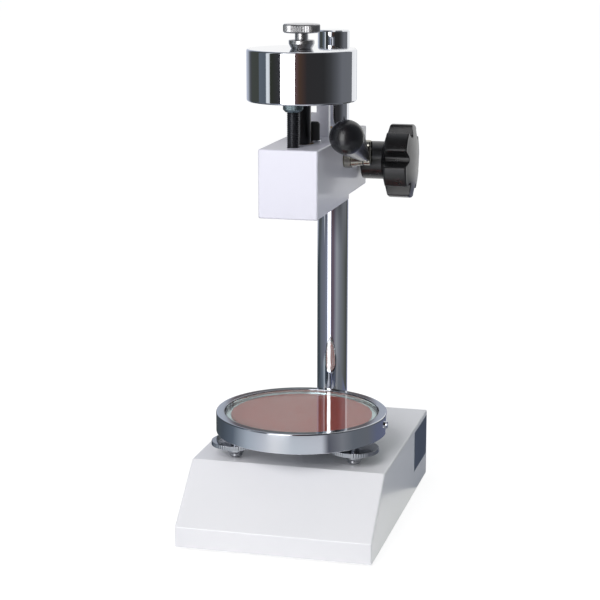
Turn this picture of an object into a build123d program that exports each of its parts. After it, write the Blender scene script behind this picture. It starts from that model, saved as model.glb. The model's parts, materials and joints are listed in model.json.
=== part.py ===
from build123d import *
import os
from math import atan2, cos, pi, radians, sin

# Bench stand that lowers a weighted hardness tester onto a specimen.
# Millimetres, X to the right, Y to the back, Z up.
# The origin is on the bench, under the middle of the base.

# Fits
running_clearance = 0.05
loose_clearance = 0.2
seat_gap = 0.1
moving_gap = 0.3
cut_overrun = 1.0

# Base
base_width = 128.5
casing_height = 47.0
front_lip_height = 13.3
slope_run = 38.5
casing_wall = 4.0
casing_edge_radius = 1.2
axis_behind_slope = 37.4
column_setback = 25.7
rib_thickness = 4.0
rib_depth = 14.0

# Feet
foot_protrusion = 2.5
foot_diameter = 20.0
foot_taper = 1.0
foot_web = 1.0
foot_inset = 16.0
foot_boss_diameter = 11.0
foot_screw_diameter = 4.0
foot_screw_head_diameter = 7.6
foot_screw_head_height = 1.4
foot_screw_length = 12.0
plate_recess = 0.5
plate_thickness = 1.6
plate_clearance = 0.4

# Nameplate
nameplate_length = 46.5
nameplate_height = 28.3
nameplate_thickness = 0.8
nameplate_rear_margin = 1.8
nameplate_top_margin = 3.4

# Column
column_diameter = 21.5
column_height = 271.1
column_chamfer = 1.0
column_boss_diameter = 36.0
column_socket_depth = 25.0
column_socket_floor = 5.0
column_stud_diameter = 12.0
column_washer_diameter = 24.0
column_washer_thickness = 2.0
column_nut_flats = 19.0
column_nut_height = 9.0
column_stud_overhang = 1.5

# Levelling table
table_diameter = 113.0
table_height = 13.2
table_clear_height = 14.0
table_edge_radius = 0.9
glass_pocket_diameter = 102.0
glass_lip = 0.6
glass_thickness = 7.0
glass_clearance = 0.15
underlay_margin = 4.2
glass_chamfer = 0.5
underlay_thickness = 0.6
glass_screw_diameter = 3.0
glass_screw_head_diameter = 4.6
glass_screw_head_height = 1.4
glass_screw_slot = 0.7
glass_screw_rise = 7.0

# Draw bolt
draw_bolt_diameter = 6.0
draw_bolt_entry = 4.0
draw_bolt_play = 1.2
draw_spring_wire = 1.2
draw_spring_diameter = 11.0
draw_spring_length = 17.0
draw_spring_turns = 6
draw_washer_diameter = 14.0
draw_washer_thickness = 1.2
draw_nut_flats = 10.0
draw_nut_height = 5.0
draw_bolt_overhang = 1.5

# Levelling screws
levelling_rear_angle = 93.0
levelling_spread_angle = 120.0
levelling_inset = 11.0
levelling_stud_diameter = 6.0
levelling_stud_entry = 3.2
levelling_foot_diameter = 8.6
levelling_foot_height = 2.4
wheel_diameter = 31.8
wheel_rim_thickness = 2.9
wheel_hub_diameter = 12.4
wheel_hub_height = 5.6
wheel_hub_chamfer = 1.6
wheel_knurl_count = 60
wheel_knurl_depth = 0.3

# Head
head_width = 38.4
head_height = 43.7
head_rest_height = 160.5
head_front_reach = 35.2
head_side_wall = 5.0
head_front_wall = 6.0
head_plate_wall = 7.0
head_edge_radius = 1.0
clamp_front_reach = 34.9
clamp_rear_reach = 19.1
clamp_step = 3.0
tongue_length = 22.0
tongue_thickness = 9.0
tongue_clearance = 0.1
head_screw_diameter = 4.0
head_screw_head_diameter = 7.0
head_screw_head_height = 4.0
head_screw_spacing = 16.0
head_screw_setback = 7.0
head_screw_length = 10.0
head_screw_socket = 3.0

# Column liner
liner_wall = 1.5
liner_flange_width = 2.5
liner_flange_thickness = 1.5
liner_slit = 2.0
circlip_thickness = 1.0
circlip_groove_depth = 0.5
liner_end = 0.8

# Clamp knob
clamp_drop = 21.2
clamp_screw_diameter = 8.0
clamp_screw_entry = 30.0
clamp_shoe_length = 2.4
knob_side_gap = 2.5
knob_hub_diameter = 25.8
knob_hub_length = 19.0
knob_diameter = 50.6
knob_lobe_count = 6
knob_rest_angle = 10.0
knob_lobe_width = 15.0
knob_lobe_radius = 4.5
knob_core_diameter = 36.0
knob_back_slope = 4.0
knob_rim_length = 15.1
knob_dome_height = 2.6
knob_edge_radius = 1.6

# Lever
lever_setback = 13.0
lever_drop = 14.7
lever_shaft_diameter = 8.0
lever_collar_diameter = 11.6
lever_collar_length = 4.7
lever_cone_diameter = 10.0
lever_spigot_diameter = 4.4
lever_plane = 34.5
lever_length = 65.3
lever_rest_angle = 19.8
lever_eye_diameter = 7.0
lever_horn_diameter = 8.0
lever_horn_rise = 9.1
lever_eye_thickness = 5.4
lever_rod_diameter = 4.5
lever_rod_step = 0.8
lever_pin_diameter = 1.5
ball_diameter = 22.0
grip_length = 50.0
grip_tail_diameter = 7.2
grip_shoulder_radius = 2.0
lever_bush_wall = 1.5
ring_thickness = 1.0
ring_diameter = 14.0
ring_mouth = 6.0
ring_groove_depth = 0.5
shaft_end_length = 1.6

# Crank
crank_plate = 4.5
crank_half_height = 5.0
crank_eye_diameter = 13.0
crank_tip_reach = 7.5
crank_gap = 0.5
slot_clearance = 0.6
slot_inner_reach = 3.4
crank_web_start = 14.0
crank_web_length = 12.0
crank_web_rise = 4.0
crank_pin_diameter = 2.5
fork_pin_diameter = 4.0
fork_pin_overhang = 1.0

# Lever spring
lever_spring_wire = 1.8
lever_spring_play = 0.6
lever_spring_turns = 3
lever_spring_pitch = 2.4
lever_spring_leg = 23.0
lever_spring_heel = 11.0

# Spindle
spindle_diameter = 12.0
spindle_reach = 4.0
spigot_diameter = 9.0
spigot_top_margin = 8.0
tester_thread_bore = 5.0
tester_thread_depth = 12.0
spindle_chamfer = 0.6
spindle_bush_wall = 2.0

# Weight
weight_diameter = 70.0
weight_height = 32.8
weight_gap = 27.3
weight_edge_radius = 1.3
stroke = 14.2
guide_rod_diameter = 8.0
guide_rod_offset = 21.5
guide_rod_entry = 12.0
guide_rod_hold = 18.0
guide_rod_pitch = 1.25
guide_rod_thread_depth = 0.5
guide_nut_diameter = 12.8
guide_nut_height = 5.0
guide_nut_chamfer = 1.6

# Stroke stop
stop_offset_x = 4.8
stop_offset_y = 11.6
stop_diameter = 8.4
stop_radius = 2.2
stop_washer_diameter = 10.0
stop_washer_thickness = 1.0
stop_stud_diameter = 4.0
stop_stud_entry = 6.0
stop_stud_hold = 5.0

# Guide finger
finger_gap = 1.5
finger_to_seam = 11.5
finger_thickness = 5.0
finger_left = 0.8
finger_right = 9.0
finger_shelf_reach = 9.5
finger_shelf_height = 15.6
finger_height = 33.0
finger_corner_radius = 2.0
finger_tenon_depth = 5.0
finger_tenon_half_width = 6.0

# Weight knob
weight_knob_base_diameter = 13.4
weight_knob_collar_diameter = 16.4
weight_knob_flare_height = 3.0
weight_knob_collar_height = 2.3
weight_knob_neck_diameter = 8.5
weight_knob_neck_height = 4.6
weight_knob_head_diameter = 23.5
weight_knob_head_height = 5.5
weight_knob_chamfer = 0.8
weight_knob_knurl_count = 72
weight_knob_knurl_depth = 0.3
knob_stud_diameter = 6.0
knob_stud_entry = 19.0
knob_stud_hold = 12.0

# Levels
casing_bottom = foot_protrusion
casing_top = casing_bottom + casing_height
casing_roof = casing_top - casing_wall
plate_bottom = casing_bottom + plate_recess
plate_top = plate_bottom + plate_thickness
column_boss_bottom = casing_top - column_socket_depth - column_socket_floor
column_seat = column_boss_bottom + column_socket_floor
column_top = casing_top + column_height
table_bottom = casing_top + table_clear_height
table_top = table_bottom + table_height
glass_top = table_top - glass_lip
glass_bottom = glass_top - glass_thickness
pocket_floor = glass_bottom - underlay_thickness
wheel_bottom = casing_top + seat_gap + levelling_foot_height
rim_bottom = wheel_bottom + wheel_hub_height
rim_top = rim_bottom + wheel_rim_thickness
head_bottom = casing_top + head_rest_height
head_top = head_bottom + head_height
cavity_bottom = head_bottom + head_plate_wall
cavity_top = head_top - head_plate_wall
clamp_bottom = head_bottom + clamp_step
clamp_axis = head_top - clamp_drop
lever_axis = head_top - lever_drop
weight_bottom = head_top + weight_gap
weight_top = weight_bottom + weight_height
spindle_bottom = head_bottom - spindle_reach
stop_top = weight_bottom - stroke - moving_gap

# Places
work_setback = slope_run + axis_behind_slope
finger_reach = weight_diameter / 2 + finger_gap
seam_reach = finger_reach + finger_thickness + finger_to_seam
column_reach = seam_reach + clamp_front_reach
base_depth = work_setback + column_reach + column_setback
work_y = work_setback - base_depth / 2
column_y = work_y + column_reach
head_front = work_y - head_front_reach
seam_y = work_y + seam_reach
head_rear = column_y + clamp_rear_reach
lever_y = seam_y - lever_setback
crank_reach = lever_y - work_y
head_side = head_width / 2
cavity_side = head_side - head_side_wall
guide_rod_y = work_y - guide_rod_offset
stop_x = stop_offset_x
stop_y = work_y + stop_offset_y
finger_front = work_y + finger_reach
liner_bore_radius = column_diameter / 2 + running_clearance
liner_radius = liner_bore_radius + liner_wall
clamp_bore_radius = liner_radius + running_clearance
knob_back = head_side + knob_side_gap
knob_shoulder = knob_back + knob_hub_length
knob_face = knob_shoulder + knob_rim_length + knob_dome_height
lever_spring_radius = lever_shaft_diameter / 2 + lever_spring_play + lever_spring_wire / 2
levelling_radius = table_diameter / 2 - levelling_inset
levelling_angles = {
    "left": levelling_rear_angle + levelling_spread_angle,
    "right": levelling_rear_angle - levelling_spread_angle,
    "rear": levelling_rear_angle,
}
spring_leg_height = lever_axis - lever_spring_radius
foot_places = [
    (side * (base_width / 2 - foot_inset), end * (base_depth / 2 - foot_inset))
    for side in (-1, 1)
    for end in (-1, 1)
]

ON_FLOOR = (Align.CENTER, Align.CENTER, Align.MIN)


# Shapes
def rod(radius, low, high, x=0, y=0):
    """Upright round bar from one level to another."""
    return Pos(x, y, low) * Cylinder(radius, high - low, align=ON_FLOOR)


def cross_rod(radius, left, right, y, z):
    """Round bar along X."""
    return Pos(left, y, z) * Rot(0, 90, 0) * Cylinder(radius, right - left, align=ON_FLOOR)


def block(left, right, front, rear, low, high):
    """Box between six planes."""
    middle = Pos((left + right) / 2, (front + rear) / 2, (low + high) / 2)
    return middle * Box(right - left, rear - front, high - low)


def turned(profile, x=0, y=0):
    """Solid turned about an upright axis from (radius, level) points."""
    face = Plane.XZ * make_face(Polyline(*profile, close=True))
    return Pos(x, y, 0) * revolve(face, Axis.Z)


def side_extrusion(outline, left, right):
    """Prism along X from (y, z) points."""
    face = Plane.YZ * make_face(Polyline(*outline, close=True))
    return Pos(left, 0, 0) * extrude(face, amount=right - left)


def side_sketch(sketch, left, right, y, z):
    """Prism along X from a sketch whose own X is Y and own Y is Z."""
    return Pos(left, y, z) * extrude(Plane.YZ * sketch, amount=right - left)


def knurl_cutter(diameter, depth, count, low, high):
    """Ring of upright V grooves round a rim."""
    edge = diameter / 2
    half_mouth = pi * diameter / count / 2
    groove = make_face(
        Polyline(
            (edge - depth, 0),
            (edge + depth, 2 * half_mouth),
            (edge + depth, -2 * half_mouth),
            close=True,
        )
    )
    tooth = Pos(0, 0, low) * extrude(groove, amount=high - low)
    return [Rot(0, 0, 360 * i / count) * tooth for i in range(count)]


def hexagon_nut(flats, bore_radius, low, high, x=0, y=0):
    """Upright hexagon nut."""
    body = extrude(RegularPolygon(flats / 2, 6, major_radius=False), amount=high - low)
    return Pos(x, y, low) * body - rod(bore_radius, low - cut_overrun, high + cut_overrun, x, y)


def washer(diameter, bore_radius, low, high, x=0, y=0):
    """Flat round washer."""
    return rod(diameter / 2, low, high, x, y) - rod(
        bore_radius, low - cut_overrun, high + cut_overrun, x, y
    )


# Base pieces
def base_casing():
    """Wedge-fronted shell, open below, with its bosses."""
    front, rear = -base_depth / 2, base_depth / 2
    rise = casing_height - front_lip_height
    slope_angle = atan2(rise, slope_run)
    steepness = rise / slope_run
    skin = casing_wall / cos(slope_angle)
    lip_top = casing_bottom + front_lip_height
    outer = side_extrusion(
        [
            (front, casing_bottom),
            (front, lip_top),
            (front + slope_run, casing_top),
            (rear, casing_top),
            (rear, casing_bottom),
        ],
        -base_width / 2,
        base_width / 2,
    )
    edges = [e for e in outer.edges() if e.center().Z > casing_bottom + casing_edge_radius]
    outer = fillet(edges, casing_edge_radius)
    below = casing_bottom - cut_overrun
    inner = side_extrusion(
        [
            (front + casing_wall, below),
            (front + casing_wall, lip_top + casing_wall * steepness - skin),
            (front + (casing_roof - lip_top + skin) / steepness, casing_roof),
            (rear - casing_wall, casing_roof),
            (rear - casing_wall, below),
        ],
        casing_wall - base_width / 2,
        base_width / 2 - casing_wall,
    )
    bosses = rod(column_boss_diameter / 2, column_boss_bottom, casing_top, 0, column_y)
    for x, y in foot_places:
        bosses += rod(foot_boss_diameter / 2, plate_top, casing_top, x, y)
    bosses += block(
        -base_width / 2,
        base_width / 2,
        column_y - rib_thickness / 2,
        column_y + rib_thickness / 2,
        casing_roof - rib_depth,
        casing_top,
    )
    casing = outer - inner + (bosses & outer)
    casing -= rod(column_diameter / 2, column_seat, casing_top + cut_overrun, 0, column_y)
    stud_hole = column_stud_diameter / 2 + loose_clearance
    casing -= rod(stud_hole, column_boss_bottom - cut_overrun, column_seat, 0, column_y)
    bolt_hole = draw_bolt_diameter / 2 + draw_bolt_play
    casing -= rod(bolt_hole, casing_roof - cut_overrun, casing_top + cut_overrun, 0, work_y)
    for x, y in foot_places:
        casing -= rod(foot_screw_diameter / 2, plate_top - cut_overrun, foot_screw_top(), x, y)
    low, high, near, far = nameplate_edges()
    pocket = base_width / 2 - nameplate_thickness
    return casing - block(pocket, base_width / 2 + cut_overrun, near, far, low, high)


def nameplate_edges():
    """Low, high, front and rear edges of the nameplate's shallow pocket."""
    high = casing_top - nameplate_top_margin
    far = base_depth / 2 - nameplate_rear_margin
    return high - nameplate_height, high, far - nameplate_length, far


def nameplate():
    """Bare plate, flush in the casing's right side."""
    low, high, near, far = nameplate_edges()
    face = base_width / 2
    return block(
        face - nameplate_thickness,
        face,
        near + seat_gap,
        far - seat_gap,
        low + seat_gap,
        high - seat_gap,
    )


def bottom_plate():
    """Sheet that closes the casing from below."""
    side = base_width / 2 - casing_wall - plate_clearance
    end = base_depth / 2 - casing_wall - plate_clearance
    plate = block(-side, side, -end, end, plate_bottom, plate_top)
    hole = foot_screw_diameter / 2 + loose_clearance
    for x, y in foot_places:
        plate -= rod(hole, plate_bottom - cut_overrun, plate_top + cut_overrun, x, y)
    return plate


def foot_screw_top():
    """Level of the tips of the screws that hold the feet."""
    return plate_bottom - foot_web + foot_screw_length


def rubber_foot():
    """Tapered foot with a deep recess for its screw."""
    seat = plate_bottom - foot_web
    hole = foot_screw_diameter / 2 + loose_clearance
    recess = foot_screw_head_diameter / 2 + loose_clearance
    return turned(
        [
            (recess, 0),
            (foot_diameter / 2 - foot_taper, 0),
            (foot_diameter / 2, plate_bottom),
            (hole, plate_bottom),
            (hole, seat),
            (recess, seat),
        ]
    )


def foot_screw():
    """Pan-head screw through foot and plate into the casing's boss."""
    seat = plate_bottom - foot_web
    head = rod(foot_screw_head_diameter / 2, seat - foot_screw_head_height, seat)
    return head + rod(foot_screw_diameter / 2, seat, foot_screw_top())


def at_feet(piece):
    """One copy of a piece at each foot."""
    return Compound(children=[Pos(x, y, 0) * piece for x, y in foot_places])


def stud_bottom():
    """Lower end of the column's threaded stud."""
    return column_boss_bottom - column_washer_thickness - column_nut_height - column_stud_overhang


def column():
    """Round column with a turned stud below its shoulder."""
    radius, stud = column_diameter / 2, column_stud_diameter / 2
    return turned(
        [
            (0, stud_bottom()),
            (stud, stud_bottom()),
            (stud, column_seat),
            (radius, column_seat),
            (radius, column_top - column_chamfer),
            (radius - column_chamfer, column_top),
            (0, column_top),
        ],
        0,
        column_y,
    )


def column_washer():
    """Washer under the column's boss."""
    low = column_boss_bottom - column_washer_thickness
    return washer(
        column_washer_diameter, column_stud_diameter / 2, low, column_boss_bottom, 0, column_y
    )


def column_nut():
    """Nut that draws the column into its socket."""
    high = column_boss_bottom - column_washer_thickness
    return hexagon_nut(
        column_nut_flats, column_stud_diameter / 2, high - column_nut_height, high, 0, column_y
    )


# Table pieces
def levelling_place(name):
    """Where one levelling screw stands."""
    angle = radians(levelling_angles[name])
    return levelling_radius * cos(angle), work_y + levelling_radius * sin(angle)


def glass_screw_level():
    """Height of the screw that holds the glass."""
    return table_bottom + glass_screw_rise


def table_body():
    """Turned dish that carries the glass."""
    edge, pocket = table_diameter / 2, glass_pocket_diameter / 2
    dish = turned(
        [
            (0, table_bottom),
            (edge, table_bottom),
            (edge, table_top),
            (pocket, table_top),
            (pocket, pocket_floor),
            (0, pocket_floor),
        ],
        0,
        work_y,
    )
    rims = [e for e in dish.edges().filter_by(GeomType.CIRCLE) if e.radius > edge - seat_gap]
    dish = fillet(rims, table_edge_radius)
    hole = levelling_stud_diameter / 2 + running_clearance
    for name in levelling_angles:
        x, y = levelling_place(name)
        dish -= rod(hole, table_bottom - cut_overrun, pocket_floor + cut_overrun, x, y)
    bolt_end = table_bottom + draw_bolt_entry
    dish -= rod(draw_bolt_diameter / 2, table_bottom - cut_overrun, bolt_end, 0, work_y)
    screw = glass_screw_diameter / 2
    return dish - cross_rod(screw, pocket - cut_overrun, edge + cut_overrun, work_y, glass_screw_level())


def table_underlay():
    """Coloured disc under the glass, a little smaller than the glass."""
    radius = glass_pocket_diameter / 2 - glass_clearance - underlay_margin
    return rod(radius, pocket_floor, glass_bottom, 0, work_y)


def table_glass():
    """Glass disc with a small arris."""
    radius = glass_pocket_diameter / 2 - glass_clearance
    disc = rod(radius, glass_bottom, glass_top, 0, work_y)
    return chamfer(disc.edges().filter_by(GeomType.CIRCLE), glass_chamfer)


def glass_screw():
    """Slotted screw that holds the glass from the side."""
    inner = glass_pocket_diameter / 2 - glass_clearance
    edge = table_diameter / 2
    level = glass_screw_level()
    face = edge + glass_screw_head_height
    screw = cross_rod(glass_screw_diameter / 2, inner, edge, work_y, level)
    screw += cross_rod(glass_screw_head_diameter / 2, edge, face, work_y, level)
    reach = glass_screw_head_diameter / 2 + cut_overrun
    slot_floor = face - glass_screw_slot
    half = glass_screw_slot / 2
    return screw - block(
        slot_floor, face + cut_overrun, work_y - reach, work_y + reach, level - half, level + half
    )


def draw_spring_bottom():
    """Level of the draw spring's lower end."""
    return casing_roof - draw_spring_length


def draw_bolt():
    """Rod that ties the table to the spring inside the base."""
    low = draw_spring_bottom() - draw_washer_thickness - draw_nut_height - draw_bolt_overhang
    return rod(draw_bolt_diameter / 2, low, table_bottom + draw_bolt_entry, 0, work_y)


def draw_washer():
    """Washer under the draw spring."""
    high = draw_spring_bottom()
    return washer(
        draw_washer_diameter, draw_bolt_diameter / 2, high - draw_washer_thickness, high, 0, work_y
    )


def draw_nut():
    """Nut on the draw bolt."""
    high = draw_spring_bottom() - draw_washer_thickness
    return hexagon_nut(
        draw_nut_flats, draw_bolt_diameter / 2, high - draw_nut_height, high, 0, work_y
    )


def draw_spring():
    """Compression spring between the casing's roof and the washer."""
    coil_radius = (draw_spring_diameter - draw_spring_wire) / 2
    low = draw_spring_bottom() + draw_spring_wire / 2 + seat_gap
    rise = draw_spring_length - draw_spring_wire - 2 * seat_gap
    pitch = rise / draw_spring_turns
    path = Helix(pitch, rise, coil_radius)
    print("draw spring gap", round(pitch - draw_spring_wire, 2))
    section = Plane(path @ 0, z_dir=path % 0) * Circle(draw_spring_wire / 2)
    return Pos(0, work_y, low) * sweep(section, path=path)


def levelling_stud(name):
    """Threaded stud with the foot that stands on the casing."""
    x, y = levelling_place(name)
    foot, stud = levelling_foot_diameter / 2, levelling_stud_diameter / 2
    return turned(
        [
            (0, casing_top + seat_gap),
            (foot, casing_top + seat_gap),
            (foot, wheel_bottom),
            (stud, wheel_bottom),
            (stud, table_bottom + levelling_stud_entry),
            (0, table_bottom + levelling_stud_entry),
        ],
        x,
        y,
    )


def levelling_wheel(name):
    """Knurled finger wheel on its stud."""
    x, y = levelling_place(name)
    stud, hub = levelling_stud_diameter / 2, wheel_hub_diameter / 2
    wheel = turned(
        [
            (stud, wheel_bottom),
            (hub - wheel_hub_chamfer, wheel_bottom),
            (hub, wheel_bottom + wheel_hub_chamfer),
            (hub, rim_bottom),
            (wheel_diameter / 2, rim_bottom),
            (wheel_diameter / 2, rim_top),
            (stud, rim_top),
        ]
    )
    low, high = rim_bottom - cut_overrun, rim_top + cut_overrun
    wheel -= knurl_cutter(wheel_diameter, wheel_knurl_depth, wheel_knurl_count, low, high)
    return Pos(x, y, 0) * wheel


# Head pieces
def head_housing():
    """Front box of the head, open to the rear."""
    outer = block(-head_side, head_side, head_front, seam_y, head_bottom, head_top)
    edges = [e for e in outer.edges() if e.center().Y < seam_y - head_edge_radius]
    outer = fillet(edges, head_edge_radius)
    housing = outer - block(
        -cavity_side,
        cavity_side,
        head_front + head_front_wall,
        seam_y + cut_overrun,
        cavity_bottom,
        cavity_top,
    )
    bush = spindle_diameter / 2 + spindle_bush_wall
    housing -= rod(bush, head_bottom - cut_overrun, head_top + cut_overrun, 0, work_y)
    guide = guide_rod_diameter / 2 + running_clearance
    housing -= rod(guide, cavity_top - cut_overrun, head_top + cut_overrun, 0, guide_rod_y)
    pivot = lever_shaft_diameter / 2 + lever_bush_wall
    housing -= cross_rod(
        pivot, -head_side - cut_overrun, head_side + cut_overrun, lever_y, lever_axis
    )
    stud_low = head_top - stop_stud_entry
    housing -= rod(stop_stud_diameter / 2, stud_low, head_top + cut_overrun, stop_x, stop_y)
    housing -= block(
        -finger_tenon_half_width,
        finger_tenon_half_width,
        finger_front,
        finger_front + finger_thickness,
        head_top - finger_tenon_depth,
        head_top + cut_overrun,
    )
    for x, y in head_screw_places():
        hole = head_screw_diameter / 2 + loose_clearance
        housing -= rod(hole, head_bottom - cut_overrun, cavity_bottom + cut_overrun, x, y)
        recess = head_screw_head_diameter / 2 + loose_clearance
        housing -= rod(recess, head_bottom - cut_overrun, head_screw_seat(), x, y)
    return housing


def head_screw_places():
    """Where the two screws under the head pass."""
    y = seam_y - head_screw_setback
    return [(-head_screw_spacing / 2, y), (head_screw_spacing / 2, y)]


def head_screw_seat():
    """Level on which the heads of the head screws bear."""
    return head_bottom + head_screw_head_height + loose_clearance


def head_screws():
    """Two socket screws that hold the clamp block's tongue."""
    seat = head_screw_seat()
    socket = Pos(0, 0, seat - head_screw_head_height - cut_overrun) * extrude(
        RegularPolygon(head_screw_socket / 2, 6, major_radius=False),
        amount=head_screw_head_height / 2 + cut_overrun,
    )
    screw = rod(head_screw_head_diameter / 2, seat - head_screw_head_height, seat) - socket
    screw += rod(head_screw_diameter / 2, seat, seat + head_screw_length)
    return Compound(children=[Pos(x, y, 0) * screw for x, y in head_screw_places()])


def clamp_block():
    """Rear block of the head, bored for the column, with the tongue that joins it."""
    outer = block(-head_side, head_side, seam_y, head_rear, clamp_bottom, head_top)
    edges = [e for e in outer.edges() if e.center().Y > seam_y + head_edge_radius]
    clamp = fillet(edges, head_edge_radius)
    side = cavity_side - tongue_clearance
    clamp += block(
        -side,
        side,
        seam_y - tongue_length,
        seam_y,
        cavity_bottom,
        cavity_bottom + tongue_thickness,
    )
    clamp += block(
        -side,
        side,
        lever_y + crank_eye_diameter / 2 + moving_gap + loose_clearance,
        seam_y,
        cavity_bottom,
        spring_leg_height - lever_spring_wire / 2 - seat_gap,
    )
    clamp -= rod(clamp_bore_radius, head_bottom, head_top + cut_overrun, 0, column_y)
    screw = clamp_screw_diameter / 2 + running_clearance
    clamp -= cross_rod(screw, 0, head_side + cut_overrun, column_y, clamp_axis)
    for x, y in head_screw_places():
        tip = head_screw_seat() + head_screw_length
        clamp -= rod(head_screw_diameter / 2, cavity_bottom - cut_overrun, tip, x, y)
    return clamp


def spindle_bushes():
    """Two bushes that guide the spindle."""
    inner = spindle_diameter / 2 + running_clearance
    outer = spindle_diameter + 2 * spindle_bush_wall
    return Compound(
        children=[
            washer(outer, inner, head_bottom, cavity_bottom, 0, work_y),
            washer(outer, inner, cavity_top, head_top, 0, work_y),
        ]
    )


def lever_bushes():
    """Two bushes that carry the lever shaft."""
    inner = lever_shaft_diameter / 2 + running_clearance
    outer = lever_shaft_diameter / 2 + lever_bush_wall
    bushes = []
    for left in (-head_side, cavity_side):
        right = left + head_side_wall
        bush = cross_rod(outer, left, right, lever_y, lever_axis)
        bushes.append(
            bush - cross_rod(inner, left - cut_overrun, right + cut_overrun, lever_y, lever_axis)
        )
    return Compound(children=bushes)


def stop_stud():
    """Washer and stud that carry the stroke stop."""
    plate = rod(stop_washer_diameter / 2, head_top, head_top + stop_washer_thickness, stop_x, stop_y)
    top = head_top + stop_washer_thickness + stop_stud_hold
    return plate + rod(stop_stud_diameter / 2, head_top - stop_stud_entry, top, stop_x, stop_y)


def stop_bumper():
    """Rubber cap on which the weight ends its stroke."""
    low = head_top + stop_washer_thickness
    bumper = rod(stop_diameter / 2, low, stop_top, stop_x, stop_y)
    bumper = fillet(bumper.edges().sort_by(Axis.Z)[-1], stop_radius)
    return bumper - rod(stop_stud_diameter / 2, low, low + stop_stud_hold, stop_x, stop_y)


def guide_finger():
    """Stepped plate that stands behind the weight."""
    shelf, tip = head_top + finger_shelf_height, head_top + finger_height
    outline = [
        (-finger_shelf_reach, head_top),
        (-finger_shelf_reach, shelf),
        (finger_left, shelf),
        (finger_left, tip),
        (finger_right, tip),
        (finger_right, head_top),
    ]
    sketch = make_face(Polyline(*outline, close=True))
    inner = Vector(finger_left, shelf)
    corners = [v for v in sketch.vertices() if v.Y > head_top + finger_corner_radius]
    corners = [v for v in corners if (v.center() - inner).length > finger_corner_radius]
    sketch = fillet(corners, finger_corner_radius)
    plate = Pos(0, finger_front + finger_thickness, 0) * extrude(
        Plane.XZ * sketch, amount=finger_thickness
    )
    return plate + block(
        -finger_tenon_half_width,
        finger_tenon_half_width,
        finger_front,
        finger_front + finger_thickness,
        head_top - finger_tenon_depth,
        head_top,
    )


def clamp_shoe():
    """Brass pad between clamp screw and liner."""
    radius = clamp_screw_diameter / 2
    pad = cross_rod(radius, 0, clamp_shoe_face(), column_y, clamp_axis)
    clearance = liner_radius + moving_gap
    return pad - rod(clearance, head_bottom, head_top, 0, column_y)


def clamp_shoe_face():
    """Outer face of the clamp shoe."""
    return liner_radius + moving_gap + clamp_shoe_length


# Column liner pieces
def circlip_level():
    """Underside of the liner's circlip."""
    return head_top + moving_gap


def column_liner():
    """Split sleeve that slides on the column and turns in the head."""
    flange_top = clamp_bottom - moving_gap
    flange_low = flange_top - liner_flange_thickness
    groove = circlip_level()
    groove_top = groove + circlip_thickness
    top = groove_top + liner_end
    groove_radius = liner_radius - circlip_groove_depth
    flange_radius = liner_radius + liner_flange_width
    liner = turned(
        [
            (liner_bore_radius, flange_low),
            (flange_radius, flange_low),
            (flange_radius, flange_top),
            (liner_radius, flange_top),
            (liner_radius, groove),
            (groove_radius, groove),
            (groove_radius, groove_top),
            (liner_radius, groove_top),
            (liner_radius, top),
            (liner_bore_radius, top),
        ],
        0,
        column_y,
    )
    return liner - liner_slot(flange_low, top)


def liner_slot(low, high):
    """Space cut through liner and circlip at the rear."""
    half = liner_slit / 2
    reach = column_y + liner_radius + liner_flange_width + cut_overrun
    return block(-half, half, column_y, reach, low - cut_overrun, high + cut_overrun)


def liner_circlip():
    """Open ring that keeps the liner in the head."""
    low = circlip_level()
    high = low + circlip_thickness
    diameter = 2 * (liner_radius + liner_flange_width)
    inner = liner_radius - circlip_groove_depth
    return washer(diameter, inner, low, high, 0, column_y) - liner_slot(low, high)


# Clamp knob pieces
def clamp_screw():
    """Threaded bar from the shoe into the knob."""
    left = clamp_shoe_face() + seat_gap
    return cross_rod(
        clamp_screw_diameter / 2, left, knob_back + clamp_screw_entry, column_y, clamp_axis
    )


def star_knob():
    """Lobed knob with a hub and a domed face."""
    hub, edge = knob_hub_diameter / 2, knob_diameter / 2
    rim = knob_shoulder + knob_rim_length
    corner = knob_edge_radius
    flat = edge - corner
    dome_radius = (flat**2 + knob_dome_height**2) / (2 * knob_dome_height)
    envelope = make_face(
        [
            Polyline(
                (knob_back, 0),
                (knob_back, hub - corner),
                (knob_back + corner, hub),
                (knob_shoulder - knob_back_slope, hub),
                (knob_shoulder, flat),
                (knob_shoulder + corner, edge),
                (rim - corner, edge),
                (rim, flat),
            ),
            RadiusArc((rim, flat), (knob_face, 0), dome_radius),
            Line((knob_face, 0), (knob_back, 0)),
        ]
    )
    body = revolve(envelope, Axis.X)
    reach = edge + cut_overrun
    lobe = Pos(reach / 2, 0) * RectangleRounded(reach, knob_lobe_width, knob_lobe_radius)
    star = Circle(knob_core_diameter / 2)
    for i in range(knob_lobe_count):
        star += Rot(0, 0, 90 - knob_rest_angle + 360 * i / knob_lobe_count) * lobe
    prism = side_sketch(star, knob_back - cut_overrun, knob_face + cut_overrun, 0, 0)
    lobes = body & prism
    centre = Pos(0, column_y, clamp_axis)
    bore = knob_back + clamp_screw_entry
    screw = cross_rod(
        clamp_screw_diameter / 2, knob_back - cut_overrun, bore, column_y, clamp_axis
    )
    return centre * lobes - screw


# Lever pieces
def on_lever(piece):
    """Carries a piece made along +Z from the origin out along the lever."""
    return Pos(lever_plane, lever_y, lever_axis) * Rot(90 - lever_rest_angle, 0, 0) * piece


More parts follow.
